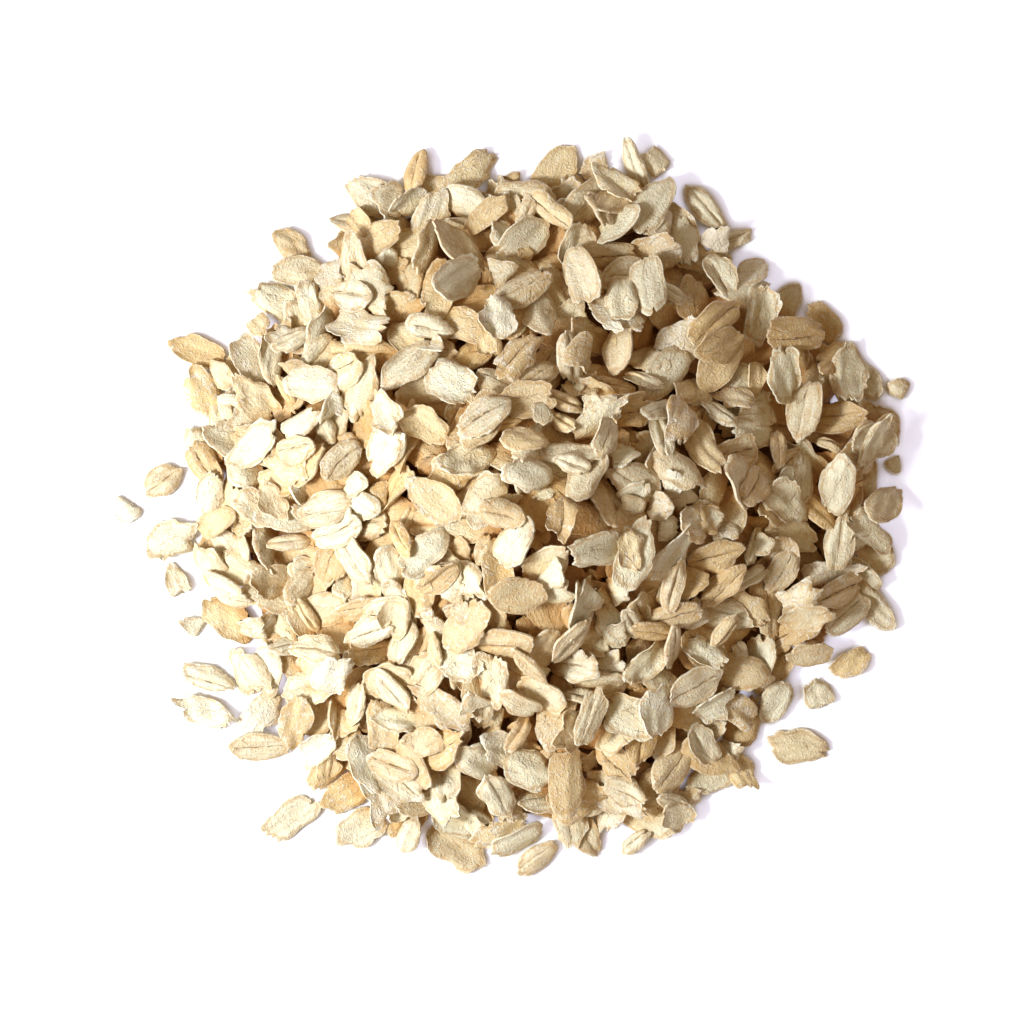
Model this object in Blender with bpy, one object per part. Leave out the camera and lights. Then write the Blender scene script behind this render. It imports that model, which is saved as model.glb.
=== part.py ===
"""A loose heap of rolled oats as it lies on a table, with the flakes that slid clear of it.

Metres, +Z up. The origin is on the table, below the middle of everything that lies there.
The heap is laid flake by flake: each one comes down on what already lies there and settles on
three supports. The flakes that show are fused to a core that fills the heap beneath them.
"""

import math
from dataclasses import dataclass

import bmesh
import bpy
import numpy as np
from mathutils import Matrix

MM = 0.001
SEED = 3

# The heap as a whole, and where its middle lies from the middle of everything on the table
HEAP_PLACE = (3.26 * MM, -0.21 * MM, 0.0)
HEAP_RADIUS = 56.0 * MM
HEAP_HEIGHT = 24.5 * MM
CROWN = 1.4
SKIRT = 1.25
# The foot isn't a true circle: lobes round it, share of the radius, and where the first one points
OUTLINE_LOBES = (
    (1, 0.023, 1.08),
    (2, 0.016, 2.76),
    (3, 0.030, 0.78),
    (4, 0.020, -0.58),
    (5, 0.018, 0.59),
    (6, 0.013, -0.28),
    (8, 0.020, -2.73),
)
SHELL_DEPTH = 6.5 * MM
TABLE_GAP = 0.3 * MM

# One rolled oat
FLAKE_LENGTH = 8.7 * MM
FLAKE_SLENDERNESS = 0.58
FLAKE_THICKNESS = 0.75 * MM
RIM_LOBES = (2, 3, 4, 5)
BED_IN = 0.2 * MM
STEEPEST = math.tan(math.radians(54))
LEAST_HEIGHT = 0.1 * MM
STRAY_ROOM = 0.8 * MM

# How the flakes come down: first a band along the foot, then anywhere, at a lean that their
# neighbours catch them at in part, until the heap is full to its even form
FOOT_FLAKES = 150
FOOT_BAND = (3.0 * MM, 11.0 * MM)
LEAN = (0.25, 0.9)
CAUGHT = 0.30
PROUD = 1.4 * MM

# What is fused to the core
SHOWN_FLAKES = 242
FLAKE_SIDES = 7
TOP_SHARE = 0.86
CORE_SPLITS = 4
CORE_EVENING = 24
CORE_SINK = 1.0 * MM
CORE_FOOT = 0.96
CORE_LEAST = 0.7 * MM

# The grid on which the heap's surface is kept while it is laid
CELL = 0.8 * MM
GRID_REACH = 70.0 * MM

# Kinds: share of all flakes, size against a whole flake, slenderness, thickness
KINDS = {
    "creased": (0.26, 1.00, 1.00, 1.05),
    "smooth": (0.27, 1.00, 1.04, 0.95),
    "torn": (0.17, 1.00, 1.14, 0.90),
    "broken": (0.18, 0.74, 1.14, 1.00),
    "narrow": (0.12, 0.74, 0.74, 1.45),
}

# Flakes that make the heap's outline: x, y, length, width in mm, turn in degrees, kind
RIM_FLAKES = (
    (-26.0, 41.5, 10.5, 5.0, -8, "smooth"),
    (-27.5, 45.0, 8.0, 3.6, -5, "creased"),
    (-24.8, 49.3, 9.2, 5.6, -33, "smooth"),
    (-14.5, 49.5, 7.0, 5.0, -70, "smooth"),
    (-17.8, 53.2, 7.0, 3.8, 75, "narrow"),
    (-9.5, 52.8, 9.4, 5.5, 35, "torn"),
    (-2.5, 51.5, 5.0, 3.2, 0, "broken"),
    (4.0, 53.2, 9.5, 6.0, 55, "smooth"),
    (11.2, 53.6, 6.5, 5.0, 10, "broken"),
    (20.3, 54.2, 6.4, 4.0, -40, "broken"),
    (16.6, 53.6, 9.6, 3.4, -70, "narrow"),
    (27.6, 47.4, 9.0, 3.8, -48, "narrow"),
    (31.8, 42.4, 6.4, 2.6, 22, "narrow"),
    (39.5, 31.5, 9.4, 5.0, 50, "smooth"),
    (46.3, 29.5, 7.4, 4.2, -62, "smooth"),
    (45.0, 23.5, 7.5, 5.4, -60, "smooth"),
    (52.4, 20.6, 7.5, 4.6, -45, "smooth"),
    (55.0, 13.4, 8.0, 6.0, -50, "torn"),
    (52.4, 4.6, 10.2, 4.4, 82, "smooth"),
    (54.0, -6.4, 8.6, 5.4, -60, "smooth"),
    (52.0, -10.0, 8.0, 3.8, -35, "smooth"),
    (54.0, -15.2, 9.0, 4.6, -50, "smooth"),
    (45.4, -19.8, 6.0, 4.0, -30, "broken"),
    (38.0, -24.6, 10.0, 5.4, 65, "smooth"),
    (33.6, -33.6, 8.6, 5.2, 68, "smooth"),
    (28.0, -42.4, 7.4, 4.2, 15, "smooth"),
    (33.2, -41.0, 6.2, 4.0, -60, "torn"),
    (23.6, -45.6, 6.4, 4.2, 10, "torn"),
    (18.0, -48.4, 10.2, 5.2, -25, "smooth"),
    (16.6, -52.2, 5.4, 2.6, 42, "narrow"),
    (8.2, -50.2, 9.2, 4.6, -62, "creased"),
    (1.0, -54.8, 7.6, 3.6, 38, "narrow"),
    (-11.6, -53.2, 9.8, 6.8, -35, "torn"),
    (-19.0, -48.8, 7.4, 3.8, 40, "creased"),
    (-28.4, -44.2, 9.2, 5.4, 30, "smooth"),
    (-26.6, -50.0, 8.6, 6.0, 25, "smooth"),
    (-31.6, -40.4, 8.6, 4.6, 48, "smooth"),
    (-42.4, -32.2, 9.0, 5.0, 60, "torn"),
    (-42.4, -37.0, 9.4, 4.8, 0, "creased"),
    (-47.6, -17.0, 9.2, 6.0, -35, "smooth"),
    (-52.0, -18.6, 6.0, 3.4, -25, "broken"),
    (-48.2, -4.8, 8.4, 5.0, 30, "smooth"),
    (-51.4, 9.4, 8.4, 5.0, -60, "torn"),
    (-51.4, 18.6, 8.4, 5.6, -65, "smooth"),
    (-52.2, 25.0, 8.4, 4.8, -25, "smooth"),
    (-45.4, 22.4, 8.6, 4.8, 60, "smooth"),
    (-39.6, 32.6, 9.2, 5.2, -30, "torn"),
    (-37.4, 41.4, 7.0, 4.4, -50, "smooth"),
    (-35.6, 37.2, 9.6, 5.0, -8, "smooth"),
)

# Flakes that lie clear of the heap, in the same way
STRAYS = (
    (42.2, -37.2, 9.0, 5.8, -4, "smooth"),
    (-37.5, -48.4, 9.6, 5.2, 34, "smooth"),
    (-50.6, -26.4, 8.6, 3.8, -18, "creased"),
    (-51.2, -31.6, 9.4, 4.4, -20, "torn"),
    (-57.8, 4.6, 6.6, 4.6, 32, "narrow"),
    (-63.4, 0.3, 5.0, 4.6, 60, "broken"),
    (-56.6, -4.6, 8.0, 7.2, 28, "torn"),
    (-55.2, -12.0, 6.8, 3.8, -66, "broken"),
    (50.6, -24.0, 6.4, 3.9, 28, "smooth"),
    (45.4, -29.4, 5.6, 4.6, -70, "broken"),
    (58.3, 19.0, 4.0, 3.2, -30, "broken"),
    (57.6, 7.2, 3.2, 2.6, 10, "broken"),
)

# Linear colours: the heap's middle tone, and a flake's by its kind
HEAP_COLOUR = (0.61, 0.47, 0.29, 1.0)
KIND_COLOURS = {
    "creased": (0.58, 0.42, 0.23, 1.0),
    "smooth": (0.66, 0.52, 0.31, 1.0),
    "torn": (0.70, 0.60, 0.42, 1.0),
    "broken": (0.72, 0.61, 0.41, 1.0),
    "narrow": (0.62, 0.48, 0.28, 1.0),
}


@dataclass
class Flake:
    """One rolled oat: its size, how it is warped, and where it lies."""

    kind: str
    length: float
    width: float
    thick: float
    cup: float
    bow: float
    twist: float
    lobes: np.ndarray
    cut_at: float
    turn: float
    x: float = 0.0
    y: float = 0.0
    z: float = 0.0
    slope_x: float = 0.0
    slope_y: float = 0.0

    def rim(self, angle):
        """Share of the plain oval that the flake reaches in each direction."""
        reach = np.ones_like(angle)
        for count, (share, start) in zip(RIM_LOBES, self.lobes):
            reach = reach + share * np.cos(count * angle - start)
        if self.kind == "broken":
            reach = np.minimum(reach, self.cut_at / np.maximum(np.cos(angle), 1e-3))
        return reach

    def rise(self, u, v):
        """Height of the flake's middle sheet above its own plane, at shares u and v of the oval."""
        return self.cup * v * v + self.bow * u * u + self.twist * u * v

    def local(self, dx, dy):
        """Shares u and v of the oval for points at dx, dy from the flake's middle."""
        along = dx * math.cos(self.turn) + dy * math.sin(self.turn)
        across = dy * math.cos(self.turn) - dx * math.sin(self.turn)
        return along / (self.length / 2), across / (self.width / 2)

    def pose(self):
        """The matrix that lays the flake on its supports."""
        run_x, run_y = math.cos(self.turn), math.sin(self.turn)
        along = np.array((run_x, run_y, self.slope_x * run_x + self.slope_y * run_y))
        along /= np.linalg.norm(along)
        up = np.array((-self.slope_x, -self.slope_y, 1.0))
        up /= np.linalg.norm(up)
        across = np.cross(up, along)
        rows = [
            (along[i], across[i], up[i], place)
            for i, place in enumerate((self.x, self.y, self.z))
        ]
        return Matrix((*rows, (0, 0, 0, 1)))


def foot_radius(angle):
    """How far the heap's foot reaches in a direction."""
    lobes = sum(share * math.cos(n * angle - start) for n, share, start in OUTLINE_LOBES)
    return HEAP_RADIUS * (1 + lobes)


def dome(x, y):
    """Height of the heap's even form over a point."""
    reach = math.hypot(x, y) / foot_radius(math.atan2(y, x))
    return HEAP_HEIGHT * max(0.0, 1 - reach**CROWN) ** SKIRT


class Ground:
    """The height of what has been laid so far, and which flake lies on top, cell by cell."""

    def __init__(self):
        self.line = np.arange(-GRID_REACH, GRID_REACH, CELL)
        cells = len(self.line)
        self.aim = np.array([[dome(x, y) for x in self.line] for y in self.line])
        self.height = np.maximum(self.aim - SHELL_DEPTH, TABLE_GAP)
        self.top = np.full((cells, cells), -1)
        self.taken = np.zeros((cells, cells), bool)

    def cell(self, value):
        """Index of the cell that holds a coordinate."""
        return int(round((value + GRID_REACH) / CELL))

    def shortfall(self, x, y):
        """How far the surface round a point is below the heap's even form."""
        i, j = self.cell(y), self.cell(x)
        patch = np.s_[i - 2 : i + 3, j - 2 : j + 3]
        return float((self.aim[patch] - self.height[patch]).mean())

    def under(self, flake):
        """The cells that a flake covers, with their place from its middle and its shares u, v."""
        reach = flake.length * 0.75
        rows = slice(self.cell(flake.y - reach), self.cell(flake.y + reach) + 1)
        columns = slice(self.cell(flake.x - reach), self.cell(flake.x + reach) + 1)
        dx, dy = np.meshgrid(self.line[columns] - flake.x, self.line[rows] - flake.y)
        u, v = flake.local(dx, dy)
        inside = np.hypot(u, v) <= flake.rim(np.arctan2(v, u))
        i, j = np.nonzero(inside)
        return (i + rows.start, j + columns.start), dx[i, j], dy[i, j], u[i, j], v[i, j]

    def keep_clear(self, flake):
        """Marks the table under and just round a flake that lies apart from the heap."""
        dx, dy = np.meshgrid(self.line - flake.x, self.line - flake.y)
        u, v = flake.local(dx, dy)
        along, across = u * flake.length / 2, v * flake.width / 2
        room = STRAY_ROOM + flake.length / 2, STRAY_ROOM + flake.width / 2
        self.taken |= np.hypot(along / room[0], across / room[1]) < 1

    def settle(self, flake, lean, caught):
        """Brings a flake down at its place, from its lean towards its rest on three points."""
        cells, dx, dy, u, v = self.under(flake)
        needed = self.height[cells] - flake.rise(u, v) + flake.thick / 2
        _, rest_x, rest_y = resting_plane(dx, dy, needed)
        flake.slope_x = rest_x + caught * (lean[0] - rest_x)
        flake.slope_y = rest_y + caught * (lean[1] - rest_y)
        slope = math.hypot(flake.slope_x, flake.slope_y)
        if slope > STEEPEST:
            flake.slope_x *= STEEPEST / slope
            flake.slope_y *= STEEPEST / slope
        flake.z = float((needed - flake.slope_x * dx - flake.slope_y * dy).max()) - BED_IN
        return slope

    def cover(self, flake, index):
        """Adds a settled flake to the surface."""
        cells, dx, dy, u, v = self.under(flake)
        plane = flake.z + flake.slope_x * dx + flake.slope_y * dy
        upper = plane + flake.rise(u, v) + flake.thick / 2
        raised = upper > self.height[cells]
        rows, columns = cells[0][raised], cells[1][raised]
        self.height[rows, columns] = upper[raised]
        self.top[rows, columns] = index


def share_of_corners(corners):
    """How far inside a triangle the middle lies: its least share among the three corners."""
    (ax, ay, _), (bx, by, _), (cx, cy, _) = corners
    whole = (bx - ax) * (cy - ay) - (cx - ax) * (by - ay)
    if abs(whole) < 1e-12:
        return -math.inf
    first = (bx * cy - cx * by) / whole
    second = (cx * ay - ax * cy) / whole
    return min(first, second, 1 - first - second)


def plane_through(corners):
    """Height at the middle and slopes of the plane through three points."""
    (ax, ay, az), (bx, by, bz), (cx, cy, cz) = corners
    whole = (bx - ax) * (cy - ay) - (cx - ax) * (by - ay)
    slope_x = ((bz - az) * (cy - ay) - (cz - az) * (by - ay)) / whole
    slope_y = ((bx - ax) * (cz - az) - (cx - ax) * (bz - az)) / whole
    return az - slope_x * ax - slope_y * ay, slope_x, slope_y


def resting_plane(dx, dy, needed):
    """The plane that a stiff flake settles on: held at three points whose triangle holds its middle."""
    far, deep = 1.0, -100.0
    thirds = [math.tau * k / 3 + 0.1 for k in range(3)]
    corners = [(far * math.cos(t), far * math.sin(t), deep) for t in thirds]
    for _ in range(60):
        height, slope_x, slope_y = plane_through(corners)
        above = needed - (height + slope_x * dx + slope_y * dy)
        worst = int(above.argmax())
        if above[worst] < 1e-7:
            break
        touch = (float(dx[worst]), float(dy[worst]), float(needed[worst]))
        swaps = [corners[:k] + [touch] + corners[k + 1 :] for k in range(3)]
        corners = max(swaps, key=share_of_corners)
    return plane_through(corners)


def new_flake(draw, kind, length=None, width=None, turn=None):
    """A flake of a kind, with its own uneven size, outline and warp."""
    _, size, slender, thick = KINDS[kind]
    if length is None:
        length = FLAKE_LENGTH * size * float(np.clip(draw.normal(1.0, 0.14), 0.65, 1.3))
    if width is None:
        ratio = FLAKE_SLENDERNESS * slender * float(np.clip(draw.normal(1.0, 0.12), 0.75, 1.3))
        width = length * min(ratio, 0.95)
    if turn is None:
        turn = draw.uniform(0, math.tau)
    rough = {"torn": 1.6, "broken": 1.2, "narrow": 0.5}.get(kind, 0.9)
    shares = draw.normal(0, (0.035, 0.035, 0.028, 0.022)) * rough
    starts = draw.uniform(0, math.tau, len(RIM_LOBES))
    warp = draw.normal(0, 1, 3)
    soft = 0.5 if kind == "narrow" else 1.0
    return Flake(
        kind=kind,
        length=length,
        width=width,
        thick=FLAKE_THICKNESS * thick * float(draw.uniform(0.85, 1.2)),
        cup=warp[0] * 0.80 * MM * soft,
        bow=warp[1] * 0.65 * MM * soft,
        twist=warp[2] * 0.45 * MM * soft,
        lobes=np.column_stack((shares, starts)),
        cut_at=float(draw.uniform(0.05, 0.55)),
        turn=float(turn),
    )


def place_at_foot(draw):
    """A place in the band along the foot."""
    angle = draw.uniform(-math.pi, math.pi)
    reach = foot_radius(angle) - draw.uniform(*FOOT_BAND)
    return reach * math.cos(angle), reach * math.sin(angle)


def place_in_heap(draw):
    """A place anywhere within the foot."""
    angle = draw.uniform(-math.pi, math.pi)
    reach = (foot_radius(angle) - FOOT_BAND[0]) * math.sqrt(draw.uniform())
    return reach * math.cos(angle), reach * math.sin(angle)


def lay_rim(draw, ground):
    """Lays the flakes that make the heap's outline."""
    flakes = []
    for x, y, length, width, turn, kind in RIM_FLAKES:
        flake = new_flake(draw, kind, length * MM, width * MM, math.radians(turn))
        flake.x, flake.y = x * MM, y * MM
        ground.settle(flake, (0.0, 0.0), 0.0)
        ground.cover(flake, len(flakes))
        flakes.append(flake)
    return flakes


def lay_heap(strays):
    """Lays flakes until the heap has its even form. Returns them all, and the surface they make."""
    draw = np.random.default_rng(SEED)
    ground = Ground()
    for stray in strays:
        ground.keep_clear(stray)
    flakes = lay_rim(draw, ground)
    inside = ground.aim > 0
    names = list(KINDS)
    shares = np.array([KINDS[name][0] for name in names])
    while np.maximum(ground.aim - ground.height, -PROUD)[inside].mean() > 0:
        flake = new_flake(draw, names[draw.choice(len(names), p=shares)])
        at_foot = len(flakes) < FOOT_FLAKES + len(RIM_FLAKES)
        new_place = place_at_foot if at_foot else place_in_heap
        places = [new_place(draw) for _ in range(8)]
        places.sort(key=lambda place: -ground.shortfall(*place))
        steep, way = math.tan(draw.uniform(*LEAN)), draw.uniform(0, math.tau)
        lean = (steep * math.cos(way), steep * math.sin(way))
        caught = CAUGHT * draw.uniform() ** 1.5
        for flake.x, flake.y in places[:3]:
            steepness = ground.settle(flake, lean, caught)
            if steepness < STEEPEST and not ground.taken[ground.under(flake)[0]].any():
                ground.cover(flake, len(flakes))
                flakes.append(flake)
                break
    return flakes, ground


def seen_areas(flakes, ground):
    """How much of each flake shows, as area along the heap's slope."""
    up, along = np.gradient(ground.aim, CELL)
    slant = np.sqrt(1 + up**2 + along**2)
    shows = ground.top >= 0
    return np.bincount(
        ground.top[shows], weights=slant[shows] * CELL * CELL, minlength=len(flakes)
    )


def lay_strays():
    """The flakes that lie clear of the heap, flat on the table."""
    draw = np.random.default_rng(SEED + 1)
    strays = []
    for x, y, length, width, turn, kind in STRAYS:
        flake = new_flake(draw, kind, length * MM, width * MM, math.radians(turn))
        flake.x, flake.y = x * MM, y * MM
        strays.append(flake)
    return strays


def oat_material(name, colour):
    """Dry, dull oat."""
    material = bpy.data.materials.new(name)
    material.use_nodes = True
    shader = material.node_tree.nodes["Principled BSDF"]
    shader.inputs["Base Color"].default_value = colour
    shader.inputs["Roughness"].default_value = 0.75
    shader.inputs["Metallic"].default_value = 0.0
    return material


def flake_object(flake, name, collection, material, least=LEAST_HEIGHT):
    """A flake with few sides: a flat disc, narrower above, drawn out to its outline and warped."""
    mesh = bpy.data.meshes.new(name)
    shape = bmesh.new()
    bmesh.ops.create_cone(
        shape,
        cap_ends=True,
        cap_tris=True,
        segments=FLAKE_SIDES,
        radius1=1.0,
        radius2=TOP_SHARE,
        depth=1.0,
    )
    for vertex in shape.verts:
        u, v, level = vertex.co
        reach = float(flake.rim(np.array(math.atan2(v, u))))
        u, v = u * reach, v * reach
        vertex.co.x = u * flake.length / 2
        vertex.co.y = v * flake.width / 2
        vertex.co.z = level * flake.thick + flake.rise(u, v)
    shape.transform(flake.pose())
    lowest = min(vertex.co.z for vertex in shape.verts)
    if lowest < least:
        shape.transform(Matrix.Translation((0, 0, least - lowest)))
    shape.to_mesh(mesh)
    shape.free()
    mesh.materials.append(material)
    made = bpy.data.objects.new(name, mesh)
    collection.objects.link(made)
    return made


def evened(height):
    """A surface without its single flakes: every cell drawn to the mean of its neighbours."""
    for _ in range(CORE_EVENING):
        sides = [np.roll(height, step, axis) for axis in (0, 1) for step in (-1, 1)]
        height = (height * 2 + sum(sides)) / 6
    return height


def core_object(ground, collection, material):
    """The heap beneath the flakes that show: half a ball, set to the surface under them."""
    level = evened(ground.height)
    shape = bmesh.new()
    bmesh.ops.create_icosphere(shape, subdivisions=CORE_SPLITS, radius=1.0)
    everything = shape.verts[:] + shape.edges[:] + shape.faces[:]
    bmesh.ops.bisect_plane(
        shape, geom=everything, dist=0.01, plane_co=(0, 0, 0), plane_no=(0, 0, 1), clear_inner=True
    )
    rim = [edge for edge in shape.edges if edge.is_boundary]
    bmesh.ops.contextual_create(shape, geom=rim)
    for vertex in shape.verts:
        angle = math.atan2(vertex.co.y, vertex.co.x)
        reach = foot_radius(angle) * CORE_FOOT * math.sqrt(max(0.0, 1 - vertex.co.z))
        vertex.co.x, vertex.co.y = reach * math.cos(angle), reach * math.sin(angle)
        if vertex.co.z > 1e-5:
            cell = ground.cell(vertex.co.y), ground.cell(vertex.co.x)
            vertex.co.z = max(float(level[cell]) - CORE_SINK, CORE_LEAST)
        else:
            vertex.co.z = 0.0
    bmesh.ops.recalc_face_normals(shape, faces=shape.faces[:])
    mesh = bpy.data.meshes.new("oat_heap")
    shape.to_mesh(mesh)
    shape.free()
    mesh.materials.append(material)
    made = bpy.data.objects.new("oat_heap", mesh)
    collection.objects.link(made)
    return made


def keep_outer_skin(mesh):
    """Drops loose scraps, and the inner skins of the hollows that fusing sealed."""
    shape = bmesh.new()
    shape.from_mesh(mesh)
    left = set(shape.faces)
    skins = []
    while left:
        front = [left.pop()]
        skin = set(front)
        while front:
            for edge in front.pop().edges:
                near = [face for face in edge.link_faces if face in left]
                left.difference_update(near)
                skin.update(near)
                front.extend(near)
        skins.append(skin)
    outer = max(skins, key=len)
    loose = [face for skin in skins if skin is not outer for face in skin]
    bmesh.ops.delete(shape, geom=loose, context="FACES")
    shape.to_mesh(mesh)
    shape.free()


def fuse(core, pieces):
    """Joins the pieces of a collection to the core, and removes them."""
    join = core.modifiers.new("fuse", "BOOLEAN")
    join.operation = "UNION"
    join.solver = "EXACT"
    join.operand_type = "COLLECTION"
    join.collection = pieces
    graph = bpy.context.evaluated_depsgraph_get()
    fused = bpy.data.meshes.new_from_object(core.evaluated_get(graph))
    core.modifiers.clear()
    core.data = fused
    fused.name = core.name
    for piece in list(pieces.objects):
        bpy.data.objects.remove(piece)
    bpy.data.collections.remove(pieces)
    keep_outer_skin(fused)


def new_collection(name):
    """A collection in the scene."""
    made = bpy.data.collections.new(name)
    bpy.context.scene.collection.children.link(made)
    return made


def main():
    """Builds the heap and the flakes round it."""
    for old in list(bpy.data.objects):
        bpy.data.objects.remove(old)
    whole = new_collection("rolled_oats")
    pieces = new_collection("flakes_to_fuse")
    material = oat_material("oat_heap", HEAP_COLOUR)

    strays = lay_strays()
    flakes, ground = lay_heap(strays)
    seen = seen_areas(flakes, ground)
    seen[: len(RIM_FLAKES)] = np.inf
    shown = sorted(np.argsort(-seen, kind="stable")[:SHOWN_FLAKES].tolist())
    core = core_object(ground, whole, material)
    for index in shown:
        flake_object(flakes[index], f"flake_{index:04d}", pieces, material)
    fuse(core, pieces)

    for number, flake in enumerate(strays, 1):
        flake.z = -FLAKE_LENGTH
        name = f"stray_flake_{number:02d}"
        flake_object(flake, name, whole, oat_material(name, KIND_COLOURS[flake.kind]), least=0.0)
    for laid in whole.objects:
        laid.data.transform(Matrix.Translation(HEAP_PLACE))


main()
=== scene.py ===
"""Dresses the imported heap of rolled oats: its flakes, crumbs and core, the table and the light.

The heap is laid by the same seeded rule as the solids: each flake comes down on what already
lies there and settles on three supports, so every flake that shows lies where its solid does.
Metres, +Z up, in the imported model's frame.
"""

import logging
import math
from dataclasses import dataclass, field
from enum import Enum

import bpy
import numpy as np
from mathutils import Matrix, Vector


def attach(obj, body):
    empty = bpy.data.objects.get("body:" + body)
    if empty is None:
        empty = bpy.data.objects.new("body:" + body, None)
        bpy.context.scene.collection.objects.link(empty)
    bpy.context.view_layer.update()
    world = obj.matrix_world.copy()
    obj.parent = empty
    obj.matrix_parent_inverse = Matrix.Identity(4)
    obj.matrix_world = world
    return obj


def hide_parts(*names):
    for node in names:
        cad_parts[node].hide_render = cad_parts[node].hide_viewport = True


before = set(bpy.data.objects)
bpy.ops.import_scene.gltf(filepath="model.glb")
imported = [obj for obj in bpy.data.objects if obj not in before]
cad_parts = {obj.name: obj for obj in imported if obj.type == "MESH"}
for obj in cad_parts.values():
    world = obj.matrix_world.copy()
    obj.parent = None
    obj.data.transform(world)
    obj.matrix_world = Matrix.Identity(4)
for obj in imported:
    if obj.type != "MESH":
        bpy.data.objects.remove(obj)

LOG = logging.getLogger("rolled_oats")
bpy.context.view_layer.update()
MM = 0.001
SEED = 3
Colour = tuple[float, float, float, float]
Array = np.ndarray
Corner = tuple[float, float, float]
Socket = bpy.types.NodeSocket


class Kind(Enum):
    """The kinds of flake in the heap."""

    CREASED = "creased"
    SMOOTH = "smooth"
    TORN = "torn"
    BROKEN = "broken"
    NARROW = "narrow"


@dataclass(frozen=True)
class KindForm:
    """What sets one kind of flake apart from the others.

    Attributes:
        share: Share of all flakes in the heap.
        size: Length against a whole flake's.
        slender: Slenderness against a whole flake's.
        thick: Thickness against a whole flake's.
        rough: How far the outline's broad lobes depart from an oval.
        soft: How much the flake warps.
        uneven: Height of the outline's corners and dents, as a share of the radius.
        ragged: Height of the fine teeth along the rim, as a share of the radius.
        splits: Most splits that run in from the rim.
        crumple: Height of the surface's waves, in metres.
        curl: How far the rim curls up or down, in metres.
        lobes: Height of the two long swellings beside the crease, in metres.
        plump: 0 for a flat section with a thick rim, 1 for a round one.
    """

    share: float
    size: float
    slender: float
    thick: float
    rough: float = 0.9
    soft: float = 1.0
    uneven: float = 0.042
    ragged: float = 0.014
    splits: int = 1
    crumple: float = 0.15 * MM
    curl: float = 0.26 * MM
    lobes: float = 0.0
    plump: float = 0.2


FORMS: dict[Kind, KindForm] = {
    Kind.CREASED: KindForm(0.26, 1.00, 1.00, 1.05, ragged=0.026, lobes=0.15 * MM),
    Kind.SMOOTH: KindForm(0.27, 1.00, 1.04, 0.95, ragged=0.024, plump=0.12),
    Kind.TORN: KindForm(
        0.17,
        1.00,
        1.14,
        0.90,
        rough=1.6,
        uneven=0.075,
        ragged=0.036,
        splits=3,
        crumple=0.19 * MM,
        curl=0.36 * MM,
    ),
    Kind.BROKEN: KindForm(
        0.18, 0.74, 1.14, 1.00, rough=1.2, uneven=0.050, ragged=0.028, splits=2, curl=0.24 * MM
    ),
    Kind.NARROW: KindForm(
        0.12, 0.74, 0.74, 1.45, rough=0.5, soft=0.5, curl=0.08 * MM, lobes=0.20 * MM, plump=0.7
    ),
}


@dataclass
class Flake:
    """One rolled oat: its size, how it is warped, and where it lies.

    Attributes:
        kind: Its kind.
        length: Its length.
        width: Its width.
        thick: Its thickness in the middle.
        cup: How far its two sides bend up.
        bow: How far its two ends bend up.
        twist: How far opposite corners bend up.
        lobes: The height and start of each of its outline's broad lobes.
        cut_at: Where a broken flake ends, as a share of its half length.
        turn: The direction that it points in.
        x, y, z: Its middle.
        slope_x, slope_y: The slopes that it lies at.
    """

    kind: Kind
    length: float
    width: float
    thick: float
    cup: float
    bow: float
    twist: float
    lobes: Array
    cut_at: float
    turn: float
    x: float = 0.0
    y: float = 0.0
    z: float = 0.0
    slope_x: float = 0.0
    slope_y: float = 0.0

    def rim(self, angle: Array) -> Array:
        """Share of the plain oval that the flake reaches in each direction."""
        reach = np.ones_like(angle)
        for count, (share, start) in zip((2, 3, 4, 5), self.lobes):
            reach = reach + share * np.cos(count * angle - start)
        if self.kind is Kind.BROKEN:
            reach = np.minimum(reach, self.cut_at / np.maximum(np.cos(angle), 1e-3))
        return reach

    def rise(self, u: Array, v: Array) -> Array:
        """Height of the flake's middle sheet above its own plane, at shares of the oval."""
        return self.cup * v * v + self.bow * u * u + self.twist * u * v

    def local(self, dx: Array, dy: Array) -> tuple[Array, Array]:
        """Shares of the oval for points at dx, dy from the flake's middle."""
        along = dx * math.cos(self.turn) + dy * math.sin(self.turn)
        across = dy * math.cos(self.turn) - dx * math.sin(self.turn)
        return along / (self.length / 2), across / (self.width / 2)

    def axes(self) -> Array:
        """The flake's length, width and upward directions, one to a row."""
        run_x, run_y = math.cos(self.turn), math.sin(self.turn)
        along = np.array((run_x, run_y, self.slope_x * run_x + self.slope_y * run_y))
        along /= np.linalg.norm(along)
        up = np.array((-self.slope_x, -self.slope_y, 1.0))
        up /= np.linalg.norm(up)
        return np.array((along, np.cross(up, along), up))


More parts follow.
